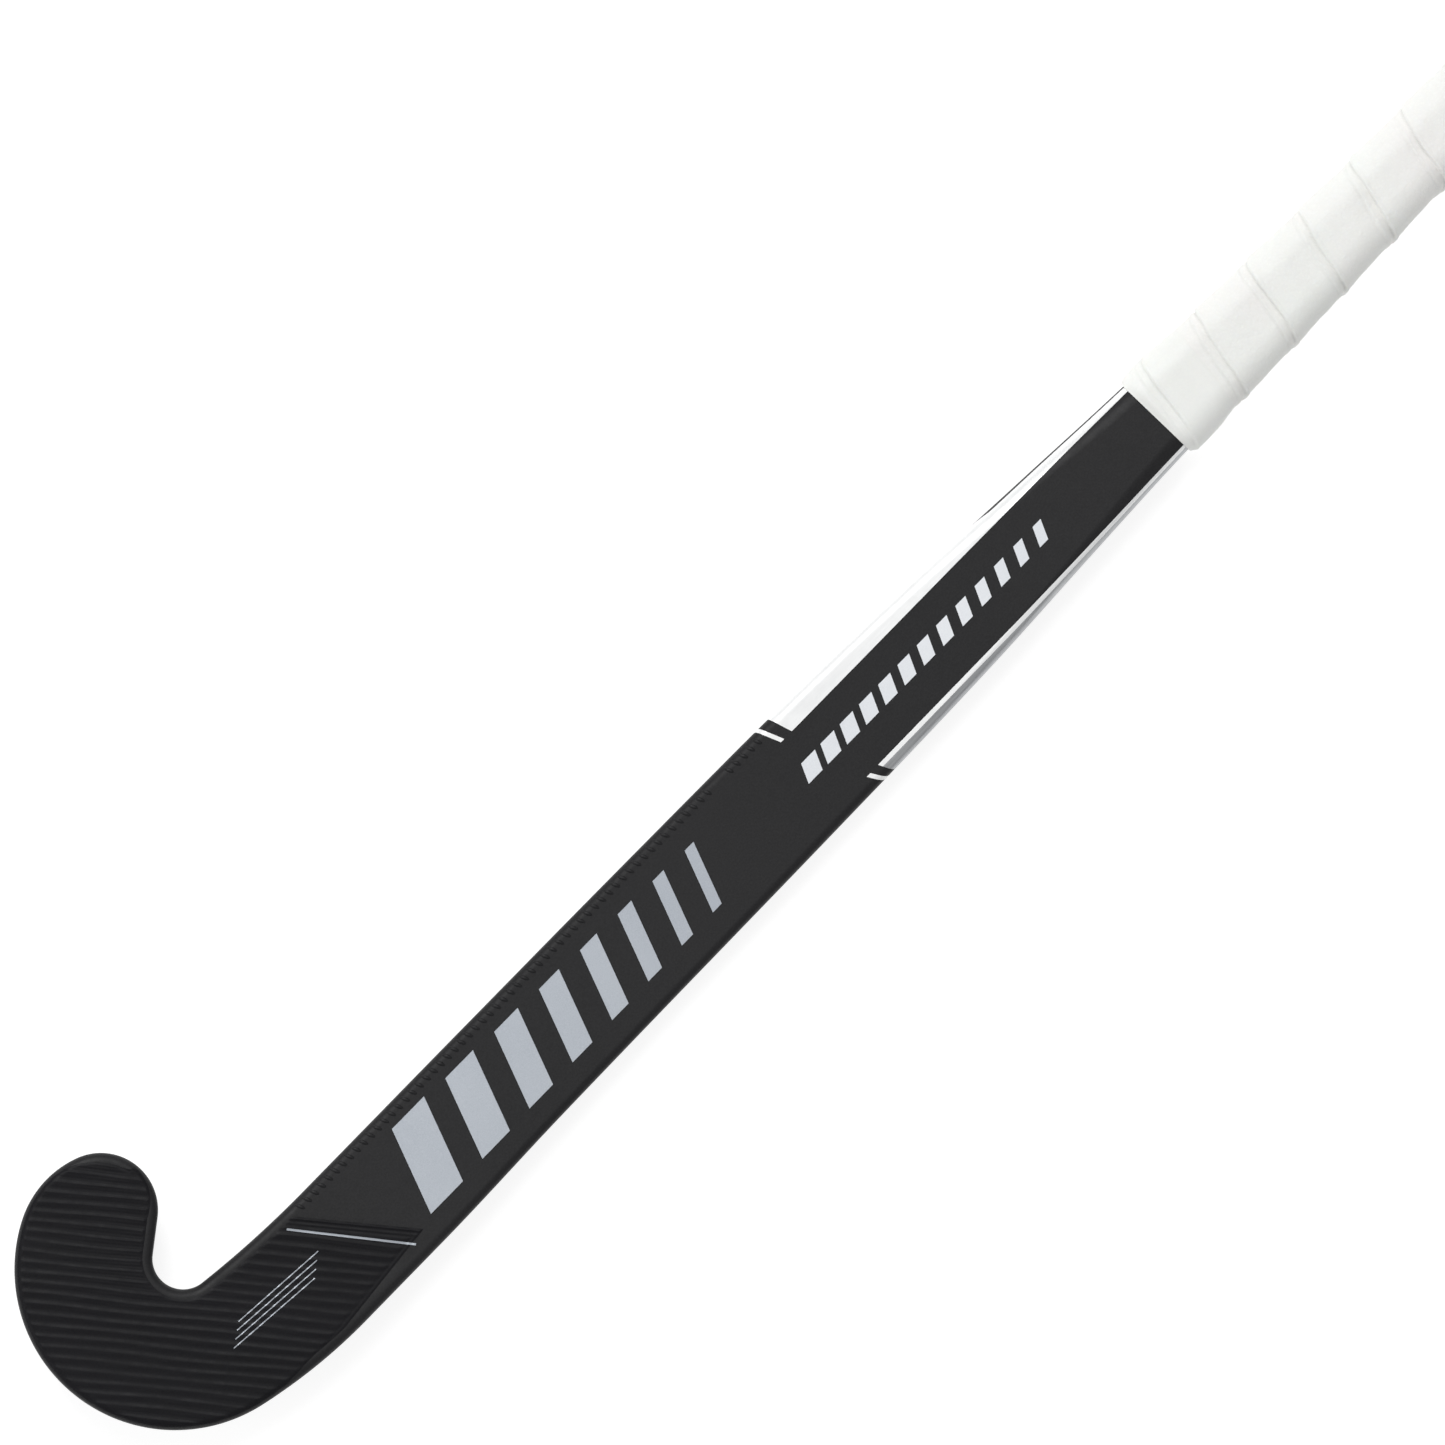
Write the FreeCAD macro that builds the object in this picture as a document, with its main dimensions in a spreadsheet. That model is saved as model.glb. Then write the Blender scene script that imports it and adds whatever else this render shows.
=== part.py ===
"""A field hockey stick, built as the pieces that a real one comes apart into.

The stick is drawn in its own frame: x runs along the shaft from the base of the head to the butt,
y points to the toe side, and z = 0 is the flat playing face of the head, with the body of the stick
below it.  Every piece then gets one Placement, which lays the stick on its rounded back, face up.
"""
import math
import os

import FreeCAD
import Part
import Sketcher

# Driving sizes, in millimetres and degrees.
SIZES = {
    # Whole stick
    "stick_length": (921.0, "base of the head to the end of the cap, square to the head; 927 on the bow"),
    "bow_end": (372.0, "where the bow, which starts at the head's end, runs out into a straight handle"),
    "bow_radius": (1770.0, "radius of the bow, which gives a bow depth of about 22"),
    "balance_point": (385.0, "centre of mass, measured from the base of the head"),
    # Outline of the head, as arcs that run tangent into each other
    "head_length": (132.0, "flat part of the stick, base to the start of the shaft"),
    "heel_radius": (208.0, "long arc where the shaft's edge turns into the heel"),
    "heel_turn": (13.3, "angle of that arc"),
    "base_tuck": (1.7, "how far the base's arc falls short of the throat's radius and the shaft's width"),
    "base_turn": (140.0, "angle of that arc"),
    "shoulder_radius": (36.6, "arc of the toe's shoulder"),
    "shoulder_turn": (47.8, "angle of that arc"),
    "toe_radius": (20.6, "arc of the toe's tip"),
    "toe_turn": (121.9, "angle of that arc"),
    "throat_radius": (11.0, "arc at the bottom of the hook's mouth"),
    "blend_radius": (400.0, "long arc from the throat into the shaft's edge"),
    "blend_turn": (7.1, "angle of that arc"),
    # Laminate
    "wall": (2.4, "thickness of the outer laminate"),
    "tube_wall": (1.2, "thickness of the inner tubes"),
    "tube_corner": (2.5, "outside corner of a tube beside the web"),
    "web_gap": (0.4, "glue line between the two tubes"),
    "bond_line": (0.2, "glue line between any other two pieces"),
    "least_round": (0.5, "smallest corner inside the laminate"),
    # Face skin
    "skin_thickness": (0.8, "textured skin let into the face"),
    "skin_margin": (3.6, "from the edge of the head to the edge of the skin"),
    "skin_tip_along": (130.3, "corner of the skin nearest the shaft, along the stick"),
    "skin_tip_across": (-16.7, "the same corner, across the stick"),
    "skin_top_angle": (51.2, "angle of the skin's upper border to the shaft"),
    "skin_heel_angle": (5.7, "angle of the skin's heel border to the shaft"),
    # Fillings
    "damper_length": (18.0, "rubber block between the head core and the tubes"),
    "plug_length": (70.0, "plug in the top of the handle"),
    # Handle
    "grip_lap": (1.4, "finishing tape stuck to the shaft below the grip"),
    "underlay_start": (3.0, "underlay starts this far above the collar"),
    "underlay": (0.6, "foam tape under the grip"),
    "grip": (0.9, "grip tape, averaged over its overlaps"),
    "finishing_length": (27.0, "finishing tape along the handle"),
    "finishing": (0.35, "thickness of the finishing tape"),
    "cap_flange": (4.5, "end cap beyond the handle"),
    "cap_round": (1.8, "rounding of the cap's rim"),
    "spigot_radius": (6.0, "cap's spigot"),
    "spigot_length": (20.0, "cap's spigot"),
    "spigot_clearance": (0.2, "spigot to the plug's socket, all round and at its bottom"),
}

# Cross sections: along the stick, width, centre across, thickness, face edge and back edge rounding.
# The first station stands at the end of the head and the last one under the cap.
STATIONS = {
    "join": (None, 48.7, -0.6, 22.5, 3.0, 9.0),
    "low": (195.0, 47.5, 0.0, 21.4, 3.0, 8.6),
    "bow": (262.0, 46.8, 0.2, 20.5, 3.0, 8.2),
    "mid": (330.0, 45.9, 0.2, 20.2, 3.2, 8.2),
    "swell": (375.0, 44.5, 0.0, 20.4, 3.4, 8.4),
    "taper": (420.0, 42.0, -0.3, 21.6, 4.0, 8.8),
    "neck": (472.0, 37.0, -0.6, 24.0, 5.5, 9.6),
    "collar": (523.0, 32.5, -1.1, 26.2, 7.5, 10.6),
    "hand": (588.0, 29.9, -1.7, 25.2, 8.5, 10.8),
    "waist": (650.0, 27.6, -1.8, 24.6, 9.0, 10.6),
    "butt": (None, 27.4, -1.8, 24.4, 9.0, 10.6),
}
COLUMNS = ("along", "width", "centre", "thick", "face_round", "back_round")
SHAFT = tuple(STATIONS)
HANDLE = SHAFT[SHAFT.index("collar"):]

# How far the trimming sketch of the skin reaches past the head, and how near is near enough.
TRIM_REACH = 90.0
NEAR = 1e-3

VALUES = {name: value for name, (value, note) in SIZES.items()}
for station, row in STATIONS.items():
    for column, value in zip(COLUMNS, row):
        if value is not None:
            VALUES[f"{column}_{station}"] = value


def fill_sheet(doc):
    """Write every driving size into the sheet, one named row each."""
    sheet = doc.addObject("Spreadsheet::Sheet", "Sizes")
    notes = {name: note for name, (value, note) in SIZES.items()}
    for row, (name, value) in enumerate(VALUES.items(), start=1):
        sheet.set(f"A{row}", name)
        sheet.set(f"B{row}", str(value))
        sheet.set(f"C{row}", notes.get(name, "cross section"))
        sheet.setAlias(f"B{row}", name)
    doc.recompute()


class Term:
    """A length that knows both its number now and its formula over the sheet."""

    def __init__(self, value, text):
        self.value = value
        self.text = text

    def __add__(self, other):
        return Term(self.value + other.value, f"({self.text} + {other.text})")

    def __sub__(self, other):
        return Term(self.value - other.value, f"({self.text} - {other.text})")

    def __mul__(self, other):
        return Term(self.value * other.value, f"({self.text} * {other.text})")

    def __truediv__(self, other):
        return Term(self.value / other.value, f"({self.text} / {other.text})")


def size(name):
    """The sheet's value of that name."""
    return Term(VALUES[name], f"Sizes.{name}")


def number(value):
    """A plain number in a formula."""
    return Term(float(value), f"({value})")


def largest(first, second):
    """The larger of two terms."""
    return Term(max(first.value, second.value), f"max({first.text}; {second.text})")


def smallest(first, second):
    """The smaller of two terms."""
    return Term(min(first.value, second.value), f"min({first.text}; {second.text})")


ZERO = number(0)
TWO = number(2)
BOND = size("bond_line")
LINING = size("wall") + BOND
DEGREES = number(57.29578)
OVER_GRIP = BOND + size("underlay") + BOND + size("grip")


class Section:
    """A rounded cross section: its place on the bowed face line, its sides, and its four corners."""

    def __init__(self, along, rise, slope, low, high, top, bottom, rounds):
        self.along = along
        self.rise = rise
        self.slope = slope
        self.low = low
        self.high = high
        self.top = top
        self.bottom = bottom
        self.rounds = rounds

    def fields(self):
        """Every number of the section in one list."""
        return [self.along, self.rise, self.slope, self.low, self.high, self.top, self.bottom, *self.rounds]

    def inset(self, by):
        """The same section with each side moved in by that much, and its corners kept concentric."""
        rounds = [largest(corner - by, size("least_round")) for corner in self.rounds]
        return Section(self.along, self.rise, self.slope, self.low + by, self.high - by,
                       self.top - by, self.bottom + by, rounds)

    def half(self, toward_toe, web, wall):
        """The toe half or the heel half, as far as the web, for a tube of that wall (0 for its outside)."""
        middle = (self.low + self.high) / TWO
        inner_round = largest(size("tube_corner") - wall, size("least_round"))
        toe_face, toe_back, heel_back, heel_face = self.rounds
        if toward_toe:
            return Section(self.along, self.rise, self.slope, middle + web, self.high,
                           self.top, self.bottom, [toe_face, toe_back, inner_round, inner_round])
        return Section(self.along, self.rise, self.slope, self.low, middle - web,
                       self.top, self.bottom, [inner_round, inner_round, heel_back, heel_face])


def place_of(name):
    """How far along the stick a station stands."""
    if name == "join":
        return size("head_length")
    if name == "butt":
        return size("stick_length") - size("cap_flange")
    return size(f"along_{name}")


def at_station(name):
    """The outside of the bare stick at one station."""
    along = place_of(name)
    half = size(f"width_{name}") / TWO
    centre = size(f"centre_{name}")
    face = size(f"face_round_{name}")
    back = size(f"back_round_{name}")
    reach = size("bow_end") - size("head_length")
    inside = smallest(largest(along - size("head_length"), ZERO), reach)
    beyond = largest(along - size("bow_end"), ZERO)
    rise = inside * inside / (TWO * size("bow_radius")) + beyond * reach / size("bow_radius")
    slope = inside / size("bow_radius") * DEGREES
    return Section(along, rise, slope, centre - half, centre + half, ZERO,
                   ZERO - size(f"thick_{name}"), [face, back, back, face])


def between(first, second, along):
    """The outside of the bare stick at a place between two stations."""
    start = at_station(first).fields()
    end = at_station(second).fields()
    share = (along - start[0]) / (end[0] - start[0])
    mixed = [low + (high - low) * share for low, high in zip(start, end)]
    return Section(along, *mixed[1:7], mixed[7:])


def origin_plane(body, role):
    """One of the body's own origin planes."""
    return next(item for item in body.Origin.OriginFeatures if item.Role == role)


def name_sizes(sketch, names):
    """Bind the sketch's measured constraints to the sheet, one after the other."""
    for index, (name, term) in names.items():
        sketch.renameConstraint(index, name)
        sketch.setExpression(f"Constraints.{name}", term.text)


def new_sketch(body, name, role):
    """An empty sketch on one of the body's origin planes."""
    sketch = body.newObject("Sketcher::SketchObject", name)
    sketch.AttachmentSupport = [(origin_plane(body, role), "")]
    sketch.MapMode = "FlatFace"
    return sketch


def stand_across(sketch, section):
    """Stand the sketch across the stick, square to the bowed face line."""
    place = FreeCAD.Vector(0, section.rise.value, section.along.value)
    turn = FreeCAD.Rotation(FreeCAD.Vector(-1, 0, 0), section.slope.value)
    sketch.AttachmentOffset = FreeCAD.Placement(place, turn)
    sketch.setExpression("AttachmentOffset.Base.y", section.rise.text)
    sketch.setExpression("AttachmentOffset.Base.z", section.along.text)
    sketch.setExpression("AttachmentOffset.Rotation.Angle", section.slope.text)


def draw_section(body, name, section):
    """A rounded rectangle: four sides, then the corners from the toe's face edge round to the heel's."""
    sketch = new_sketch(body, name, "YZ_Plane")
    stand_across(sketch, section)
    sides = (section.low, section.high, section.top, section.bottom)
    low, high, top, bottom = (side.value for side in sides)
    toe_face, toe_back, heel_back, heel_face = (corner.value for corner in section.rounds)
    quarter = math.pi / 2

    def line(start, end):
        return Part.LineSegment(FreeCAD.Vector(*start), FreeCAD.Vector(*end))

    def arc(across, up, radius, first):
        circle = Part.Circle(FreeCAD.Vector(across, up), FreeCAD.Vector(0, 0, 1), radius)
        return Part.ArcOfCircle(circle, first * quarter, (first + 1) * quarter)

    sketch.addGeometry([
        line((low + heel_face, top), (high - toe_face, top)),
        line((high, top - toe_face), (high, bottom + toe_back)),
        line((high - toe_back, bottom), (low + heel_back, bottom)),
        line((low, bottom + heel_back), (low, top - heel_face)),
        arc(high - toe_face, top - toe_face, toe_face, 0),
        arc(high - toe_back, bottom + toe_back, toe_back, 3),
        arc(low + heel_back, bottom + heel_back, heel_back, 2),
        arc(low + heel_face, top - heel_face, heel_face, 1),
    ])
    joints = [(0, 2, 4, 2), (4, 1, 1, 1), (1, 2, 5, 2), (5, 1, 2, 1),
              (2, 2, 6, 2), (6, 1, 3, 1), (3, 2, 7, 2), (7, 1, 0, 1)]
    rules = [Sketcher.Constraint("Tangent", *joint) for joint in joints]
    rules += [Sketcher.Constraint("Horizontal", 0), Sketcher.Constraint("Vertical", 1)]
    rules += [Sketcher.Constraint("Horizontal", 2), Sketcher.Constraint("Vertical", 3)]
    measured = {}
    for index, corner in enumerate(section.rounds):
        measured[len(rules)] = (f"corner_{index}", corner)
        rules.append(Sketcher.Constraint("Radius", 4 + index, corner.value))
    placed = (("DistanceX", 3, section.low, "low"), ("DistanceX", 1, section.high, "high"),
              ("DistanceY", 0, section.top, "top"), ("DistanceY", 2, section.bottom, "bottom"))
    for kind, side, term, word in placed:
        measured[len(rules)] = (f"side_{word}", term)
        rules.append(Sketcher.Constraint(kind, -1, 1, side, 1, term.value))
    sketch.addConstraint(rules)
    name_sizes(sketch, measured)
    return sketch


def loft(body, label, sections, kind="PartDesign::AdditiveLoft"):
    """Straight-ruled loft through cross sections, added to the body or cut from it."""
    sketches = [draw_section(body, f"{label}_section_{index}", item) for index, item in enumerate(sections)]
    feature = body.newObject(kind, label)
    feature.Profile = sketches[0]
    feature.Sections = sketches[1:]
    feature.Ruled = True
    body.Document.recompute()
    return feature


def base_radius():
    """Radius of the long arc round the heel and base, which carries the shaft's width round the throat."""
    return size("throat_radius") + size("width_join") - size("base_tuck")


def outline_steps(by):
    """The head's outline from the shaft's heel side round to its toe side, moved in by that much."""
    return [
        ("arc", size("heel_radius") - by, size("heel_turn")),
        ("arc", base_radius() - by, size("base_turn")),
        ("arc", size("shoulder_radius") - by, size("shoulder_turn")),
        ("arc", size("toe_radius") - by, size("toe_turn")),
        ("lip", None, None),
        ("hollow", size("throat_radius") + by, None),
        ("hollow", size("blend_radius") + by, size("blend_turn")),
    ]


def walk_outline(by, end):
    """Lines and arcs of the outline: each with its shape, and which of its ends is met first and last."""
    steps = outline_steps(by)
    start_y = VALUES["centre_join"] - VALUES["width_join"] / 2 + by.value
    end_y = VALUES["centre_join"] + VALUES["width_join"] / 2 - by.value
    turned = sum(turn.value for kind, radius, turn in steps if kind == "arc")
    throat_turn = turned - VALUES["blend_turn"] - 180

    def follow(x, y, lip):
        heading = math.pi
        pieces = []
        for kind, radius, turn in steps:
            if kind == "lip":
                ahead = (x + lip * math.cos(heading), y + lip * math.sin(heading))
                edge = Part.LineSegment(FreeCAD.Vector(x, y), FreeCAD.Vector(*ahead))
                pieces.append((edge, 1, 2, None, None))
                x, y = ahead
                continue
            side = 1 if kind == "arc" else -1
            degrees = turn.value if turn else throat_turn
            reach = side * radius.value
            centre = (x + reach * math.sin(heading), y - reach * math.cos(heading))
            heading -= side * math.radians(degrees)
            x = centre[0] - reach * math.sin(heading)
            y = centre[1] + reach * math.cos(heading)
            last = heading + side * math.pi / 2
            span = math.radians(degrees)
            first = last if kind == "arc" else last - span
            circle = Part.Circle(FreeCAD.Vector(*centre), FreeCAD.Vector(0, 0, 1), radius.value)
            ends = (2, 1) if kind == "arc" else (1, 2)
            pieces.append((Part.ArcOfCircle(circle, first, first + span), *ends, radius, turn))
        return pieces, x, y

    # The lip's length is what brings the outline back to the toe side of the shaft.
    lip_heading = math.pi - math.radians(turned)
    lip = 1 + (end_y - follow(0.0, start_y, 1.0)[2]) / math.sin(lip_heading)
    base_centre = follow(0.0, start_y, lip)[0][1][0].Center.x
    shift = base_radius().value - base_centre
    pieces, finish_x, finish_y = follow(shift, start_y, lip)
    first = Part.LineSegment(FreeCAD.Vector(end.value, start_y), FreeCAD.Vector(shift, start_y))
    last = Part.LineSegment(FreeCAD.Vector(finish_x, end_y), FreeCAD.Vector(end.value, end_y))
    return [(first, 1, 2, None, None), *pieces, (last, 1, 2, None, None)]


def draw_outline(body, name, by, floor, end):
    """Sketch of the head's outline, moved in by that much, at that height, closed across the shaft."""
    sketch = new_sketch(body, name, "XY_Plane")
    sketch.AttachmentOffset = FreeCAD.Placement(FreeCAD.Vector(0, 0, floor.value), FreeCAD.Rotation())
    sketch.setExpression("AttachmentOffset.Base.z", floor.text)
    pieces = walk_outline(by, end)
    bottom = pieces[0][0].StartPoint
    top = pieces[-1][0].EndPoint
    sketch.addGeometry([piece[0] for piece in pieces] + [Part.LineSegment(top, bottom)])
    count = len(pieces)
    rules = [Sketcher.Constraint("Tangent", index, pieces[index][2], index + 1, pieces[index + 1][1])
             for index in range(count - 1)]
    rules += [Sketcher.Constraint("Coincident", count - 1, 2, count, 1),
              Sketcher.Constraint("Coincident", count, 2, 0, 1),
              Sketcher.Constraint("Horizontal", 0),
              Sketcher.Constraint("Horizontal", count - 1),
              Sketcher.Constraint("Vertical", count)]
    measured = {}
    for index, (shape, first, last, radius, turn) in enumerate(pieces):
        if radius:
            measured[len(rules)] = (f"radius_{index}", radius)
            rules.append(Sketcher.Constraint("Radius", index, radius.value))
        if turn:
            measured[len(rules)] = (f"turn_{index}", turn)
            rules.append(Sketcher.Constraint("Angle", index, math.radians(turn.value)))
    half = size("width_join") / TWO
    places = (("DistanceX", 0, 1, end, "end"), ("DistanceY", 0, 1, size("centre_join") - half + by, "heel"),
              ("DistanceY", count - 1, 2, size("centre_join") + half - by, "toe"),
              ("DistanceX", 2, 3, base_radius(), "base"))
    for kind, shape, point, term, word in places:
        measured[len(rules)] = (f"place_{word}", term)
        rules.append(Sketcher.Constraint(kind, -1, 1, shape, point, term.value))
    sketch.addConstraint(rules)
    name_sizes(sketch, measured)
    return sketch


def add_pad(body, name, sketch, length, reverse=False):
    """Pad a sketch by a length from the sheet."""
    pad = body.newObject("PartDesign::Pad", name)
    pad.Profile = sketch
    pad.Length = length.value
    pad.setExpression("Length", length.text)
    pad.Reversed = reverse
    body.Document.recompute()
    return pad


def round_edges(body, name, base, radius, wanted):
    """Round the edges that pass the test."""
    edges = [f"Edge{index}" for index, edge in enumerate(base.Shape.Edges, start=1) if wanted(edge)]
    fillet = body.newObject("PartDesign::Fillet", name)
    fillet.Base = (base, edges)
    fillet.Radius = radius.value
    fillet.setExpression("Radius", radius.text)
    body.Document.recompute()
    return fillet


def add_head(body, by, end):
    """The hooked head, moved in by that much: its outline as thick as the stick, its long edges rounded."""
    floor = by - size("thick_join")
    sketch = draw_outline(body, "head_outline", by, floor, end)
    pad = add_pad(body, "head_pad", sketch, size("thick_join") - by - by)

    def lies_at(height):
        def wanted(edge):
            level = all(abs(vertex.Z - height) < NEAR for vertex in edge.Vertexes)
            at_end = all(abs(vertex.X - end.value) < NEAR for vertex in edge.Vertexes)
            return level and not at_end
        return wanted

    face = largest(size("face_round_join") - by, size("least_round"))
    back = largest(size("back_round_join") - by, size("least_round"))
    faced = round_edges(body, "face_edge", pad, face, lies_at(-by.value))
    return round_edges(body, "back_edge", faced, back, lies_at(floor.value))


def new_body(doc, label):
    """An empty body."""
    body = doc.addObject("PartDesign::Body", label)
    body.Label = label
    return body


def stick_form(doc, label, by):
    """The whole stick, moved in by that much: the outside of the laminate, or its hollow."""
    body = new_body(doc, label)
    add_head(body, by, size("head_length"))
    loft(body, "shaft", [at_station(name).inset(by) for name in SHAFT])
    return body


def skin_form(doc, label, by, depth):
    """The face skin, or its recess: the head's outline, cut back to the slanted upper border."""
    body = new_body(doc, label)
    outline = draw_outline(body, "skin_outline", by, ZERO - depth, size("head_length"))
    add_pad(body, "skin_pad", outline, depth)
    spare = by - size("skin_margin")
    tip = FreeCAD.Vector(VALUES["skin_tip_along"] - spare.value, VALUES["skin_tip_across"] + spare.value)
    top_angle = math.radians(VALUES["skin_top_angle"])
    heel_angle = math.radians(VALUES["skin_heel_angle"])
    reach = TRIM_REACH
    up = tip + FreeCAD.Vector(-math.cos(top_angle), math.sin(top_angle)) * reach
    down = tip - FreeCAD.Vector(math.cos(heel_angle), math.sin(heel_angle)) * reach
    far = VALUES["head_length"] + reach
    square = [FreeCAD.Vector(down.x, -reach), FreeCAD.Vector(far, -reach), FreeCAD.Vector(far, up.y)]
    corners = [up, tip, down, *square]
    sketch = new_sketch(body, "skin_border", "XY_Plane")
    ends = corners[1:] + corners[:1]
    sketch.addGeometry([Part.LineSegment(start, end) for start, end in zip(corners, ends)])
    last = len(corners)
    rules = [Sketcher.Constraint("Coincident", side, 2, (side + 1) % last, 1) for side in range(last)]
    rules += [Sketcher.Constraint("Vertical", 2), Sketcher.Constraint("Horizontal", 3),
              Sketcher.Constraint("Vertical", 4), Sketcher.Constraint("Horizontal", 5)]
    measured = {}
    places = (("DistanceX", 1, size("skin_tip_along") - spare, "tip_along"),
              ("DistanceY", 1, size("skin_tip_across") + spare, "tip_across"),
              ("DistanceX", 4, size("head_length") + number(reach), "far"),
              ("DistanceY", 4, ZERO - number(reach), "under"))
    for kind, side, term, word in places:
        measured[len(rules)] = (f"border_{word}", term)
        rules.append(Sketcher.Constraint(kind, -1, 1, side, 1, term.value))
    rules.append(Sketcher.Constraint("Distance", 0, reach))
    rules.append(Sketcher.Constraint("Distance", 1, reach))
    measured[len(rules)] = ("border_top_angle", ZERO - size("skin_top_angle"))
    rules.append(Sketcher.Constraint("Angle", 0, -top_angle))
    measured[len(rules)] = ("border_heel_angle", size("skin_heel_angle") - number(180))
    rules.append(Sketcher.Constraint("Angle", 1, heel_angle - math.pi))
    sketch.addConstraint(rules)
    name_sizes(sketch, measured)
    pocket = body.newObject("PartDesign::Pocket", "skin_trim")
    pocket.Profile = sketch
    pocket.Type = "ThroughAll"
    pocket.Midplane = True
    doc.recompute()
    return body


def cut(doc, label, base, tool):
    """One shape less another."""
    feature = doc.addObject("Part::Cut", label)
    feature.Base = base
    feature.Tool = tool
    feature.Label = label
    doc.recompute()
    return feature


def make_shell(doc):
    """The outer laminate from toe to butt, with its hollow, and a shallow seat for the face skin."""
    outside = stick_form(doc, "stick_outside", ZERO)
    hollow = stick_form(doc, "stick_hollow", size("wall"))
    seat = skin_form(doc, "skin_seat", size("skin_margin") - BOND, size("skin_thickness") + BOND)
    walled = cut(doc, "laminate", outside, hollow)
    return cut(doc, "outer_shell", walled, seat)


def make_head_core(doc):
    """The rigid foam that fills the head."""
    body = new_body(doc, "head_core")
    add_head(body, LINING, size("head_length") - BOND)
    return body


def make_damper(doc):
    """The rubber block between the head's core and the tubes."""
    body = new_body(doc, "damping_insert")
    start = size("head_length") + BOND
    places = (start, start + size("damper_length"))
    loft(body, "block", [between("join", "low", place).inset(LINING) for place in places])
    return body


def make_tube(doc, label, toward_toe):
    """One of the two tubes that run up the shaft, side by side, and form the web between them."""
    body = new_body(doc, label)
    start = size("head_length") + BOND + size("damper_length") + BOND
    end = size("stick_length") - size("cap_flange") - size("plug_length") - BOND
    run = [between("join", "low", start), *[at_station(name) for name in SHAFT[1:-1]],
           between("waist", "butt", end)]
    web = size("web_gap") / TWO
    outside = [item.inset(LINING).half(toward_toe, web, ZERO) for item in run]
    wall = size("tube_wall")
    inside = [item.inset(LINING + wall).half(toward_toe, web + wall, wall) for item in run]
    loft(body, "outside", outside)
    loft(body, "bore", inside, "PartDesign::SubtractiveLoft")
    return body


def draw_circle(body, name, radius):
    """A circle across the end of the handle, on its centre."""
    butt = at_station("butt")
    sketch = new_sketch(body, name, "YZ_Plane")
    stand_across(sketch, butt)
    across = (butt.low + butt.high) / TWO
    up = (butt.top + butt.bottom) / TWO
    centre = FreeCAD.Vector(across.value, up.value)
    sketch.addGeometry(Part.Circle(centre, FreeCAD.Vector(0, 0, 1), radius.value))
    sketch.addConstraint([Sketcher.Constraint("Radius", 0, radius.value),
                          Sketcher.Constraint("DistanceX", -1, 1, 0, 3, across.value),
                          Sketcher.Constraint("DistanceY", -1, 1, 0, 3, up.value)])
    name_sizes(sketch, {0: ("circle_radius", radius), 1: ("circle_across", across), 2: ("circle_up", up)})
    return sketch


def make_plug(doc):
    """The plug that closes the top of the handle and takes the cap's spigot."""
    body = new_body(doc, "handle_plug")
    start = size("stick_length") - size("cap_flange") - size("plug_length")
    loft(body, "plug", [between("waist", "butt", start).inset(LINING), at_station("butt").inset(LINING)])
    solid = body.Tip.Shape.Volume
    sketch = draw_circle(body, "socket", size("spigot_radius") + size("spigot_clearance"))
    pocket = body.newObject("PartDesign::Pocket", "spigot_socket")
    pocket.Profile = sketch
    depth = size("spigot_length") + size("spigot_clearance")
    pocket.Length = depth.value
    pocket.setExpression("Length", depth.text)
    doc.recompute()
    if pocket.Shape.Volume > solid - 1:
        raise SystemExit("the plug's socket cuts nothing")
    return body


def make_cap(doc):
    """The cap on the end of the handle: a rounded flange over the grip's end, and a spigot in the plug."""
    body = new_body(doc, "end_cap")
    rim = draw_section(body, "rim", at_station("butt").inset(ZERO - OVER_GRIP))
    flange = add_pad(body, "flange", rim, size("cap_flange"))
    butt = at_station("butt")
    turn = math.radians(butt.slope.value)
    outward = FreeCAD.Vector(math.cos(turn), 0, math.sin(turn))
    start = FreeCAD.Vector(butt.along.value, 0, butt.rise.value)
    end = VALUES["cap_flange"]

    def on_rim(edge):
        return all(abs((vertex.Point - start).dot(outward) - end) < NEAR for vertex in edge.Vertexes)

    round_edges(body, "rim_round", flange, size("cap_round"), on_rim)
    spigot = draw_circle(body, "spigot", size("spigot_radius"))
    add_pad(body, "spigot_pad", spigot, size("spigot_length"), reverse=True)
    return body


def handle_run(start):
    """Sections of the bare handle from a place just above the collar up to its end."""
    return [between("collar", "hand", start), *[at_station(name) for name in HANDLE[1:]]]


def make_sleeve(doc, label, start, inner, outer):
    """A layer wrapped round the handle: its inside and its outside that far off the bare handle."""
    body = new_body(doc, label)
    run = handle_run(start)
    loft(body, "outside", [item.inset(ZERO - outer) for item in run])
    loft(body, "inside", [item.inset(ZERO - inner) for item in run], "PartDesign::SubtractiveLoft")
    return body


def make_finishing_tape(doc):
    """The tape round the grip's lower end: over the grip, and down on to the bare shaft."""
    body = new_body(doc, "finishing_tape")
    start = place_of("collar")
    step = start + size("grip_lap")
    end = start + size("finishing_length")
    over = OVER_GRIP + BOND

    def ring(from_place, to_place, by):
        return [between("collar", "hand", place).inset(ZERO - by) for place in (from_place, to_place)]

    loft(body, "band", ring(start, end, over + size("finishing")))
    loft(body, "over_shaft", ring(start, step, BOND), "PartDesign::SubtractiveLoft")
    loft(body, "over_grip", ring(step, end, over), "PartDesign::SubtractiveLoft")
    return body


def lower_hull(points):
    """The lower side of the convex hull of points in a plane, from left to right."""
    hull = []
    for point in sorted(points):
        while len(hull) > 1:
            (x0, z0), (x1, z1) = hull[-2:]
            if (x1 - x0) * (point[1] - z0) - (z1 - z0) * (point[0] - x0) > 0:
                break
            hull.pop()
        hull.append(point)
    return hull


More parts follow.
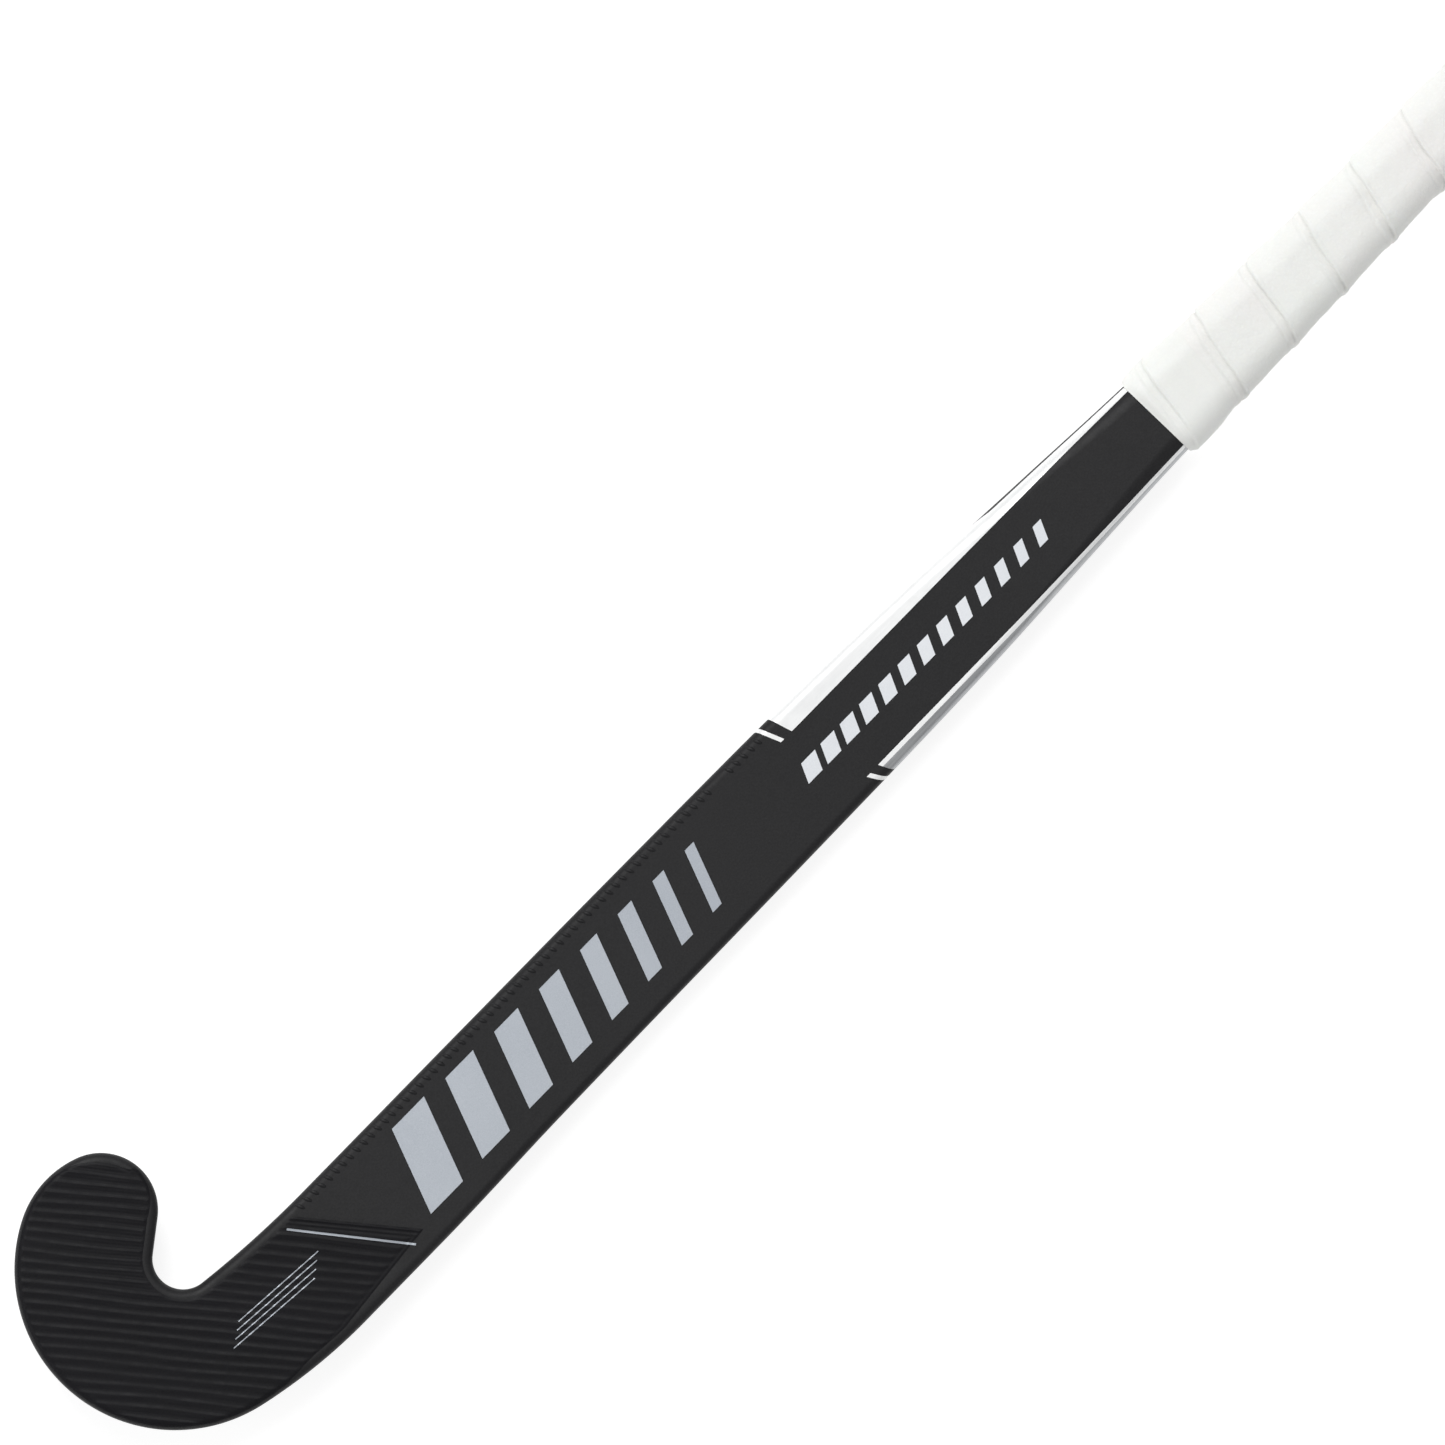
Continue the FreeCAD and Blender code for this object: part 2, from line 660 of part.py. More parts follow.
def resting_place(pieces):
    """The Placement that lays the stick on its back with its origin under the middle of it.

    Seen from the side the stick rests on two places, which are the ends of the lower hull's edge
    under its centre of mass, and it tips until that edge is level.
    """
    points = [(vertex.X, vertex.Z) for piece in pieces for vertex in piece.Shape.Vertexes]
    hull = lower_hull(points)
    spans = zip(hull, hull[1:])
    (x0, z0), (x1, z1) = next(span for span in spans if span[0][0] <= VALUES["balance_point"] <= span[1][0])
    tilt = FreeCAD.Rotation(FreeCAD.Vector(0, 1, 0), math.degrees(math.atan2(z1 - z0, x1 - x0)))
    turned = FreeCAD.BoundBox()
    for piece in pieces:
        shape = piece.Shape.copy()
        shape.Placement = FreeCAD.Placement(FreeCAD.Vector(), tilt).multiply(shape.Placement)
        turned.add(shape.optimalBoundingBox(False, False))
    middle = FreeCAD.Vector((turned.XMin + turned.XMax) / 2, (turned.YMin + turned.YMax) / 2, turned.ZMin)
    return FreeCAD.Placement(middle * -1, tilt)


def check(doc, pieces):
    """Stop if anything in the document failed, or a piece isn't one sound solid."""
    for item in doc.Objects:
        if "Invalid" in item.State or "Error" in item.State:
            raise SystemExit(f"{item.Name} failed: {item.State}")
    for piece in pieces:
        if piece.Shape.isNull() or not piece.Shape.isValid() or len(piece.Shape.Solids) != 1:
            raise SystemExit(f"{piece.Label} isn't one sound solid")


def main():
    """Build every piece, lay the stick down, and write each piece's file."""
    doc = FreeCAD.newDocument("field_hockey_stick")
    fill_sheet(doc)
    collar = place_of("collar")
    underlay = BOND + size("underlay")
    pieces = [
        make_shell(doc),
        skin_form(doc, "face_skin", size("skin_margin"), size("skin_thickness")),
        make_head_core(doc),
        make_damper(doc),
        make_tube(doc, "toe_side_tube", True),
        make_tube(doc, "heel_side_tube", False),
        make_plug(doc),
        make_sleeve(doc, "grip_underlay", collar + size("underlay_start"), BOND, underlay),
        make_sleeve(doc, "grip_tape", collar + size("grip_lap") + BOND, underlay + BOND, OVER_GRIP),
        make_finishing_tape(doc),
        make_cap(doc),
    ]
    doc.recompute()
    check(doc, pieces)
    place = resting_place(pieces)
    for piece in pieces:
        piece.Placement = place
    doc.recompute()
    check(doc, pieces)
    os.makedirs("parts", exist_ok=True)
    for piece in pieces:
        piece.Shape.exportStep(f"parts/{piece.Label}.step")
        box = piece.Shape.BoundBox
        print(f"{piece.Label:18s} volume {piece.Shape.Volume / 1000:8.2f} cm3")
        print(f"    x {box.XMin:7.1f} {box.XMax:7.1f}  y {box.YMin:6.1f} {box.YMax:6.1f}"
              f"  z {box.ZMin:6.1f} {box.ZMax:6.1f}")
    print("placement", place)


main()
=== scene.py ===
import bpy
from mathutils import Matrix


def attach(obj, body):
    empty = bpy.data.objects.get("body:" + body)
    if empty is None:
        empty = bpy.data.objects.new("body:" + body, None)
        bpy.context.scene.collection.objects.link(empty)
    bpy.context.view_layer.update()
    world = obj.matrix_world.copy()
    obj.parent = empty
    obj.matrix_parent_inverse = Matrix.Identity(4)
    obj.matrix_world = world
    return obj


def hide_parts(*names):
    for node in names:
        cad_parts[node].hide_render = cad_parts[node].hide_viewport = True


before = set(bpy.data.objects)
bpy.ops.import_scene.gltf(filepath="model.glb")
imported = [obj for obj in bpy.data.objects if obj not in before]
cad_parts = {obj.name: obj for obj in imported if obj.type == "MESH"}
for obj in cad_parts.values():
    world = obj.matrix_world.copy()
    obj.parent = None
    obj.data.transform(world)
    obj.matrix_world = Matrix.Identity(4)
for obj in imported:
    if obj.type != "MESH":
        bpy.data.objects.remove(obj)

"""The looks of a field hockey stick, built round its packed construction model.

The stick is worked out in its own frame, in millimetres: along runs from the base of the head to the
butt, across points to the toe side, and up is out of the playing face, whose flat lies at up = 0.
The class Bow carries such points into the row's frame, in metres.
"""
import logging
import math
from dataclasses import dataclass, field, replace
from enum import Enum
from typing import Callable

import bmesh
import bpy
import numpy as np

LOG = logging.getLogger("hockey_stick")
METRE = 0.001
WELD = 1e-6
SHARP = math.radians(50.0)
BLOCK = 3000
FULL_TURN = 2 * math.pi
QUARTER = math.pi / 2
SHADE = "crease_shade"
Array = np.ndarray
Pair = tuple[float, float]
Beads = tuple[tuple[float, float, float], ...]
Waves = tuple[tuple[float, float, float, float, float], ...]


def ease(value: Array, start: float, width: float) -> Array:
    """Ease from 0 to 1 as a value goes on from start over a width, with flat ends: t * t * (3 - 2 t)."""
    share = np.clip((value - start) / width, 0.0, 1.0)
    return share * share * (3.0 - 2.0 * share)


def smooth_through(at: Array, places: Array, values: Array, level_start: bool = False) -> Array:
    """Cubic curve through values that never overshoots them.

    Each place's slope is the harmonic mean of the slopes beside it, or 0 at a turn, and the curve
    between two places is the cubic with those slopes.

    Args:
        at: where to read the curve.
        places: the rising places of the values.
        values: the values there.
        level_start: whether the curve starts level.

    Returns:
        The curve's values.
    """
    step = np.diff(places)
    rate = np.diff(values) / step
    before, after = rate[:-1], rate[1:]
    product = before * after
    total = np.where(product > 0, before + after, 1.0)
    inner = np.where(product > 0, 2.0 * product / total, 0.0)
    slope = np.concatenate([[0.0 if level_start else rate[0]], inner, [rate[-1]]])
    index = np.clip(np.searchsorted(places, at, side="right") - 1, 0, len(step) - 1)
    width = step[index]
    t = (at - places[index]) / width
    rise = values[index + 1] - values[index]
    start, end = slope[index] * width, slope[index + 1] * width
    return values[index] + t * (start + t * (3 * rise - 2 * start - end + t * (start + end - 2 * rise)))


def ridges(value: Array, beads: Beads) -> Array:
    """Sum of rounded ridges, each a height, a middle and a width: height exp(-((value - middle) / width)^2)."""
    return sum(height * np.exp(-((value - middle) / width) ** 2) for height, middle, width in beads)


@dataclass(frozen=True)
class Ripple:
    """Seamless soft unevenness: a sum of sine waves that close on themselves round the piece.

    Each wave is sin(2 pi (along / length + whole turns * around) + phase), with lengths from the
    shortest to the longest, turns and phases drawn from the seed, and the sum is scaled to about
    the height.
    """

    height: float
    seed: int
    waves: int
    longest: float
    shortest: float

    def at(self, along: Array, around: Array) -> Array:
        """Heights at millimetres along the piece and at shares of the way round it.

        Args:
            along: millimetres along the piece.
            around: shares of the way round.

        Returns:
            Heights in millimetres.
        """
        draw = np.random.default_rng(self.seed)
        lengths = self.shortest * (self.longest / self.shortest) ** draw.random(self.waves)
        turns = draw.integers(-4, 5, self.waves)
        phases = draw.random(self.waves) * 2 * math.pi
        total = np.zeros(np.broadcast(along, around).shape)
        for length, turn, phase in zip(lengths, turns, phases):
            total += np.sin(FULL_TURN * (along / length + turn * around) + phase)
        return self.height * (total / math.sqrt(self.waves))


# ---- the stick's form


@dataclass(frozen=True)
class Bow:
    """The bowed face line, and the place where the stick lies in the row's frame.

    The face is flat as far as start. From there to end its slope grows evenly, as an arc of that
    radius, and beyond end it runs straight on.
    """

    start: float = 132.0
    end: float = 372.0
    radius: float = 1770.0
    tilt: float = math.radians(5.21317)
    shift: tuple[float, float, float] = (-462.611, -33.9207, 39.5483)

    def place(self, along: Array, across: Array, up: Array) -> Array:
        """Carry points of the stick's own frame on to the bow and into the row's frame.

        A point stands at its height square to the face line: up is measured along
        (-sin slope, cos slope) from (along, rise). Then the stick is tilted and moved.

        Args:
            along: millimetres from the base of the head.
            across: millimetres towards the toe side.
            up: millimetres out of the face, negative below it.

        Returns:
            Points in metres, with the coordinates on the last axis.
        """
        bent = np.clip(along - self.start, 0.0, self.end - self.start)
        beyond = np.maximum(along - self.end, 0.0)
        slope = bent / self.radius
        rise = bent * slope / 2 + beyond * (self.end - self.start) / self.radius
        level = along - up * np.sin(slope)
        height = rise + up * np.cos(slope)
        cosine, sine = math.cos(self.tilt), math.sin(self.tilt)
        points = np.stack(np.broadcast_arrays(
            level * cosine + height * sine + self.shift[0],
            across + self.shift[1],
            height * cosine - level * sine + self.shift[2]), axis=-1)
        return points * METRE


class Side(Enum):
    """The two long sides of the stick, as the sign of across."""

    HEEL = -1
    TOE = 1


@dataclass(frozen=True)
class Shaft:
    """Sizes of the shaft and handle at stations, joined by smooth curves."""

    along: tuple[float, ...] = (132, 195, 262, 330, 375, 420, 472, 523, 588, 650, 916.5)
    width: tuple[float, ...] = (48.7, 47.5, 46.8, 45.9, 44.5, 42, 37, 32.5, 29.9, 27.6, 27.4)
    centre: tuple[float, ...] = (-0.6, 0, 0.2, 0.2, 0, -0.3, -0.6, -1.1, -1.7, -1.8, -1.8)
    thick: tuple[float, ...] = (22.5, 21.4, 20.5, 20.2, 20.4, 21.6, 24, 26.2, 25.2, 24.6, 24.4)
    face_round: tuple[float, ...] = (3, 3, 3, 3.2, 3.4, 4, 5.5, 7.5, 8.5, 9, 9)
    back_round: tuple[float, ...] = (9, 8.6, 8.2, 8.2, 8.4, 8.8, 9.6, 10.6, 10.8, 10.6, 10.6)

    def read(self, name: str, at: Array) -> Array:
        """One of the sizes at places along the stick."""
        places = np.array(self.along, float)
        return smooth_through(np.asarray(at, float), places, np.array(getattr(self, name), float), True)

    def edge(self, at: Array, side: Side) -> Array:
        """How far across the shaft's edge lies on one side."""
        return self.read("centre", at) + side.value * self.read("width", at) / 2

    def face_up(self, along: Array, across: Array) -> Array:
        """Height of the face at a point: 0 on the flat, falling as a circle over the rounded edge.

        Args:
            along: millimetres along the stick.
            across: millimetres across.

        Returns:
            Heights, 0 or less.
        """
        gap = np.minimum(across - self.edge(along, Side.HEEL), self.edge(along, Side.TOE) - across)
        radius = self.read("face_round", along)
        inside = np.clip(radius - gap, 0.0, radius)
        return np.sqrt(radius**2 - inside**2) - radius

    def wrap(self, along: Array, across: Array, side: Side, off: float) -> tuple[Array, Array, Array]:
        """Lay points on the face, over its rounded edge and down its side, as a sheet would wrap.

        A point that far across on the flat sheet lies on the flat as far as the rounding starts, at
        the angle distance / radius on the rounding, and straight down the side beyond a quarter turn.

        Args:
            along: millimetres along the stick.
            across: millimetres across the flat sheet.
            side: the side over which the sheet is wrapped.
            off: how far the points stand off the surface.

        Returns:
            Along, across and up of each point.
        """
        radius = self.read("face_round", along)
        turn_at = side.value * self.edge(along, side) - radius
        run = side.value * across - turn_at
        angle = np.clip(run / radius, 0.0, QUARTER)
        down = np.maximum(run - radius * QUARTER, 0.0)
        out = np.where(run < 0, run, 0.0) + (radius + off) * np.sin(angle)
        up = (radius + off) * np.cos(angle) - radius - down
        return along, side.value * (turn_at + out), up


@dataclass(frozen=True)
class Outline:
    """The head's outline: lines and arcs that run tangent into each other, walked from the heel side.

    The walk starts at the end of the head on the heel side and goes round the base, the shoulder,
    the toe, the lip and the throat to the toe side. The inside lies on its right.
    """

    end: float = 132.0
    low: float = -24.95
    high: float = 23.75
    heel: Pair = (208.0, 13.3)
    base: Pair = (58.0, 140.0)
    shoulder: Pair = (36.6, 47.8)
    toe: Pair = (20.6, 121.9)
    throat: float = 11.0
    blend: Pair = (400.0, 7.1)
    throat_share: float = 0.3

    def steps(self) -> tuple[Array, Array, Array]:
        """Work out the walk: a line, four arcs, the straight lip, the throat, its blend and a line.

        The throat turns by what the arcs turn beyond a half turn and the blend, and the lip is as
        long as it takes to finish on the toe side's edge. The whole is shifted so that the base
        touches along = 0.

        Returns:
            Length and curvature of every step, and the point and heading at which each one starts.
        """
        arcs = [self.heel, self.base, self.shoulder, self.toe]
        turned = sum(turn for _, turn in arcs)
        hollow = [(self.throat, turned - self.blend[1] - 180.0), self.blend]
        bends = [(1 / -radius, radius * math.radians(turn)) for radius, turn in arcs]
        bends += [(0.0, 0.0)]
        bends += [(1 / radius, radius * math.radians(turn)) for radius, turn in hollow]
        curve, length = np.array([(0.0, 0.0), *bends, (0.0, 0.0)]).T
        lip = len(arcs) + 1
        starts = self.walk(length, curve)
        length[lip] = (self.high - starts[-1, 1]) / math.sin(starts[lip, 2])
        starts = self.walk(length, curve)
        base_centre = starts[2, 0] + self.base[0] * math.sin(starts[2, 2])
        shift = self.base[0] - base_centre
        length[0] = self.end - shift
        length[-1] = self.end - shift - starts[-1, 0]
        return length, curve, self.walk(length, curve) + [self.end, 0.0, 0.0]

    def walk(self, length: Array, curve: Array) -> Array:
        """Start point and heading of every step, for a walk that starts at along = 0 on the heel side.

        Args:
            length: the steps' lengths.
            curve: the steps' curvatures.

        Returns:
            Along, across and heading at each start.
        """
        heading = math.pi + np.concatenate([[0.0], np.cumsum(length * curve)])
        before, after = np.exp(1j * heading[:-1]), np.exp(1j * heading[1:])
        bend = np.where(curve == 0, 1.0, curve)
        moves = np.where(curve == 0, before * length, (after - before) / (1j * bend))
        place = 1j * self.low + np.concatenate([[0.0], np.cumsum(moves)])
        return np.stack([place.real, place.imag, heading], axis=-1)[:-1]

    def at(self, distance: Array) -> tuple[Array, Array]:
        """Points of the outline at distances along the walk, and the directions inwards there.

        On a step of curvature k the point is start + (e^(i heading) - e^(i first heading)) / (i k), or
        straight on where k is 0, and inwards is a quarter turn to the right of the heading.

        Args:
            distance: millimetres along the walk.

        Returns:
            The points, and the directions.
        """
        length, curve, starts = self.steps()
        reach = np.concatenate([[0.0], np.cumsum(length)])
        step = np.clip(np.searchsorted(reach, distance, side="right") - 1, 0, len(length) - 1)
        gone = distance - reach[step]
        bend = curve[step]
        heading = starts[step, 2] + bend * gone
        first, last = np.exp(1j * starts[step, 2]), np.exp(1j * heading)
        safe = np.where(bend == 0, 1.0, bend)
        move = np.where(bend == 0, first * gone, (last - first) / (1j * safe))
        points = starts[step, :2] + np.stack([move.real, move.imag], axis=-1)
        return points, np.stack([np.sin(heading), -np.cos(heading)], axis=-1)

    def pairs(self) -> tuple[Array, Array]:
        """Distances along the walk that face each other: from the heel side on, and back from the toe side.

        Returns:
            The distances from the heel side, and those that face them.
        """
        length = self.steps()[0]
        whole = length.sum()
        tip = length[:4].sum() + length[4] / 2
        ahead = np.array([*(length[:count].sum() for count in range(5)), tip])
        throat_end = length[8] + self.throat_share * length[7]
        back = np.array([0.0, throat_end, *(length[count:].sum() for count in (7, 6, 5)), whole - tip])
        return ahead, whole - back

    def across_from(self, distance: Array) -> Array:
        """The distance along the walk that faces each one on the heel side."""
        ahead, back = self.pairs()
        return -smooth_through(distance, ahead, -back)


@dataclass(frozen=True)
class Rib:
    """One row of cross sections: both edges, the directions inwards from them, and the section's sizes."""

    heel: Array
    heel_in: Array
    toe: Array
    toe_in: Array
    thick: Array
    face_round: Array
    back_round: Array


@dataclass(frozen=True)
class StickForm:
    """The whole stick's outside, or its hollow, as loops of points round the stick from butt to toe."""

    bow: Bow = field(default_factory=Bow)
    shaft: Shaft = field(default_factory=Shaft)
    outline: Outline = field(default_factory=Outline)
    crown: float = 0.5
    crown_width: float = 8.0
    least_round: float = 0.5
    edge_points: int = 9
    side_points: int = 3
    flat_shares: tuple[float, ...] = (0.0, 0.16, 0.33, 0.5, 0.67, 0.84, 0.975)

    def place(self, flat: Array, up: Array) -> Array:
        """Carry points of the face's plane, at their heights, into the row's frame."""
        return self.bow.place(flat[..., 0], flat[..., 1], up)

    def sections(self, shaft_step: float, head_step: float) -> Rib:
        """Cross sections from the butt to the tip of the toe.

        Args:
            shaft_step: millimetres between the shaft's sections.
            head_step: millimetres between the head's sections, along its outer edge.

        Returns:
            The sections' edges and sizes.
        """
        last = self.shaft.along[-1]
        start = self.outline.end
        places = np.linspace(last, start, int((last - start) / shaft_step))[:-1]
        ahead, back = self.outline.pairs()
        heads = np.linspace(0.0, ahead[-1], int(ahead[-1] / head_step))
        heel, heel_in = self.outline.at(heads)
        toe, toe_in = self.outline.at(self.outline.across_from(heads))
        toe[-1], toe_in[-1] = heel[-1], heel_in[-1]
        up = np.broadcast_to([0.0, 1.0], (len(places), 2))
        low = np.stack([places, self.shaft.edge(places, Side.HEEL)], axis=-1)
        high = np.stack([places, self.shaft.edge(places, Side.TOE)], axis=-1)
        along = np.concatenate([places, np.full(len(heads), start)])
        return Rib(np.concatenate([low, heel]), np.concatenate([up, heel_in]),
                   np.concatenate([high, toe]), np.concatenate([-up, toe_in]),
                   self.shaft.read("thick", along), self.shaft.read("face_round", along),
                   self.shaft.read("back_round", along))

    def half(self, edge: Array, inwards: Array, ribs: Rib, inset: float) -> tuple[Array, Array, Array]:
        """One side of every section, from the flat face over the edge and the side to the flat back.

        Over the face edge the point at angle a stands r (1 - sin a) in from the side and r (1 - cos a)
        below the face; the back edge is the same from below; between them the side is straight.

        Args:
            edge: the outline's points.
            inwards: directions inwards from them.
            ribs: the sections' sizes.
            inset: how far the whole form is moved in.

        Returns:
            The points' along and across, and their height, and the height of the back's flat.
        """
        face = np.maximum(ribs.face_round - inset, self.least_round)[:, None]
        back = np.maximum(ribs.back_round - inset, self.least_round)[:, None]
        floor = (inset - ribs.thick + self.crown)[:, None]
        angle = np.linspace(0.0, QUARTER, self.edge_points)[None, :]
        share = np.linspace(0.0, 1.0, self.side_points + 2)[1:-1][None, :]
        top_end = -inset - face
        bottom_end = floor + back
        side = top_end + (bottom_end - top_end) * share
        near, far = 1 - np.sin(angle), 1 - np.cos(angle)
        gap = np.concatenate([face * near, np.zeros_like(side), back * far], axis=1)
        up = np.concatenate([-inset - face * far, side, floor + back * near], axis=1)
        flat = edge[:, None, :] + (inset + gap)[:, :, None] * inwards[:, None, :]
        return flat, up, floor

    def loops(self, ribs: Rib, inset: float = 0.0, seat: Callable[[Array], Array] | None = None) -> Array:
        """Closed loops round every section.

        Each loop goes from the middle of the face out to the heel side, round it to the middle of the
        back, and round the toe side back to the face. The back is crowned: it rises from the middle
        by the square of the share of the way to its rounding, and less where the back is narrow.

        Args:
            ribs: the sections.
            inset: how far the whole form is moved in.
            seat: depth of a recess in the face at a point, if there is one.

        Returns:
            Points in metres: section, place round the loop, coordinate.
        """
        share = np.array(self.flat_shares)
        halves = [self.half(edge, inwards, ribs, inset)
                  for edge, inwards in ((ribs.heel, ribs.heel_in), (ribs.toe, ribs.toe_in))]
        face_middle, back_middle = ((halves[0][0][:, end] + halves[1][0][:, end]) / 2 for end in (0, -1))
        sides = []
        for flat, up, floor in halves:
            face = face_middle[:, None] + (flat[:, :1] - face_middle[:, None]) * share[None, :, None]
            back = back_middle[:, None] + (flat[:, -1:] - back_middle[:, None]) * share[None, ::-1, None]
            face_up = np.full(face.shape[:2], -inset)
            if seat:
                face_up = face_up - seat(face)
            width = np.hypot(*(flat[:, -1] - back_middle).T)[:, None]
            crown = self.crown * ease(width, 0.0, self.crown_width)
            back_up = floor - crown * (1 - share[None, ::-1] ** 2)
            sides.append((np.concatenate([face, flat, back], axis=1),
                          np.concatenate([face_up, up, back_up], axis=1)))
        flat, up = (np.concatenate([heel, toe[:, -2:0:-1]], axis=1) for heel, toe in zip(*sides))
        return self.place(flat, up)


# ---- mesh making


def grid_faces(rows: int, columns: int, closed: bool) -> Array:
    """Quads of a grid of points, row by row, joined round each row if it is closed.

    Args:
        rows: how many rows.
        columns: points in each row.
        closed: whether each row is joined round.

    Returns:
        Four point numbers for each quad.
    """
    row = np.arange(rows - 1)[:, None] * columns
    column = np.arange(columns if closed else columns - 1)[None, :]
    after = (column + 1) % columns
    corners = [row + column, row + after, row + columns + after, row + columns + column]
    return np.stack(corners, axis=-1).reshape(-1, 4)


def add_object(name: str, data: bpy.types.ID) -> bpy.types.Object:
    """Make an object of a mesh, a light or a camera, and put it in the scene.

    Args:
        name: its name.
        data: the mesh, light or camera.

    Returns:
        The object.
    """
    made = bpy.data.objects.new(name, data)
    bpy.context.scene.collection.objects.link(made)
    return made


@dataclass
class Builder:
    """Collects the points and faces of one piece, and makes its object."""

    points: list[Array] = field(default_factory=list)
    faces: list[Array] = field(default_factory=list)
    shades: list[Array] = field(default_factory=list)
    count: int = 0

    def add(self, points: Array, faces: Array, shade: Array | None = None) -> int:
        """Add points and the faces between them.

        Args:
            points: the points, with coordinates on the last axis.
            faces: quads or triangles by number within these points.
            shade: how deep in a crease each point lies, 0 to 1, which sets the painted shade there; 0 if it isn't
                given.

        Returns:
            The number of the first point.
        """
        first = self.count
        flat = points.reshape(-1, 3)
        self.points.append(flat)
        self.shades.append(np.zeros(len(flat)) if shade is None else shade.ravel())
        self.count += len(flat)
        if len(faces):
            self.faces.append(np.asarray(faces) + first)
        return first

    def tube(self, loops: Array, inside_out: bool = False, shade: Array | None = None) -> int:
        """Add closed loops as a tube, facing inwards if it is inside out."""
        quads = grid_faces(loops.shape[0], loops.shape[1], True)
        return self.add(loops, quads[:, ::-1] if inside_out else quads, shade)

    def join(self, one: Array, other: Array) -> None:
        """Join two rings of points, given by number, with a band of quads."""
        self.faces.append(np.stack([one, np.roll(one, -1), np.roll(other, -1), other], axis=-1))

    def close(self, ring: Array, middle: Array) -> None:
        """Close a ring of points, given by number, with triangles to a middle point."""
        centre = self.add(middle.reshape(1, 3), [])
        self.faces.append(np.stack([ring, np.roll(ring, -1), np.full(len(ring), centre)], axis=-1))

    def slab(self, top: Array, bottom: Array) -> None:
        """Add a closed sheet between a top and a bottom grid of points of the same size.

        Args:
            top: the top points.
            bottom: the bottom points.
        """
        rows, columns = top.shape[:2]
        quads = grid_faces(rows, columns, False)
        over = self.add(top, quads)
        under = self.add(bottom, quads[:, ::-1])
        index = np.arange(rows * columns).reshape(rows, columns)
        border = np.concatenate([index[0, :-1], index[:-1, -1], index[-1, :0:-1], index[:0:-1, 0]])
        self.join(over + border[::-1], under + border[::-1])

    def finish(self, name: str, slot: str, finish: "Finish", *replaced: str) -> None:
        """Make the piece, with doubles merged and faces smooth and outwards, and hand it to the frame.

        Args:
            name: the piece's name.
            slot: a slot name of the record; not used.
            finish: its finish.
            replaced: construction nodes that it stands for.
        """
        points = np.concatenate(self.points)
        polygons = [tuple(face) for block in self.faces for face in block.tolist()]
        mesh = bpy.data.meshes.new(name)
        mesh.from_pydata(points.tolist(), [], polygons)
        shades = np.concatenate(self.shades).astype(np.float32)
        if shades.any():
            mesh.attributes.new(SHADE, "FLOAT", "POINT").data.foreach_set("value", shades)
        weld(mesh)
        mesh.polygons.foreach_set("use_smooth", np.ones(len(mesh.polygons), bool))
        mesh.set_sharp_from_angle(angle=SHARP)
        mesh.update()
        piece = add_object(name, mesh)
        finish.dress(piece)
        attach(piece, "root")
        if replaced:
            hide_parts(*replaced)
        LOG.info("%s: %d faces", name, len(mesh.polygons))


def weld(mesh: bpy.types.Mesh) -> None:
    """Merge a mesh's doubled points, which closes its seams and poles, and turn its faces outwards.

    Args:
        mesh: the mesh, which is changed.
    """
    work = bmesh.new()
    work.from_mesh(mesh)
    bmesh.ops.remove_doubles(work, verts=work.verts, dist=WELD)
    bmesh.ops.dissolve_degenerate(work, dist=WELD / 10, edges=work.edges)
    bmesh.ops.recalc_face_normals(work, faces=work.faces)
    work.to_mesh(mesh)
    work.free()


def in_blocks(points: Array, work: Callable[[Array], Array]) -> Array:
    """Work on points of a plane a block at a time, and give the results in the points' own shape.

    Args:
        points: points in a plane.
        work: gives one value for each point of a block.

    Returns:
        The values, in the points' own shape.
    """
    flat = points.reshape(-1, 2)
    blocks = np.array_split(flat, max(1, len(flat) // BLOCK))
    return np.concatenate([work(block) for block in blocks]).reshape(points.shape[:-1])


def distance_to(points: Array, line: Array) -> Array:
    """Distance from points in a plane to the nearest of a line's points."""
    return in_blocks(points, lambda block: np.sqrt(((block[:, None] - line[None]) ** 2).sum(-1)).min(1))


def points_inside(points: Array, edge: Array) -> Array:
    """Which points lie inside a closed line, by counting how often a ray along +x crosses it.

    Args:
        points: points in a plane.
        edge: the closed line's points.

    Returns:
        True inside, in the points' own shape.
    """
    after = np.roll(edge, -1, axis=0)
    run, rise = (after - edge).T
    rise = np.where(rise == 0, 1.0, rise)

    def inside(block: Array) -> Array:
        """Whether each point of a block is crossed an odd number of times.

        Args:
            block: points in a plane.

        Returns:
            True inside.
        """
        x, y = block[:, :1], block[:, 1:]
        spans = (edge[:, 1] > y) != (after[:, 1] > y)
        cross = edge[:, 0] + (y - edge[:, 1]) * run / rise
        return ((spans & (x < cross)).sum(1) % 2).astype(bool)

    return in_blocks(points, inside)


# ---- materials

Socket = bpy.types.NodeSocket
Colour = tuple[float, float, float]


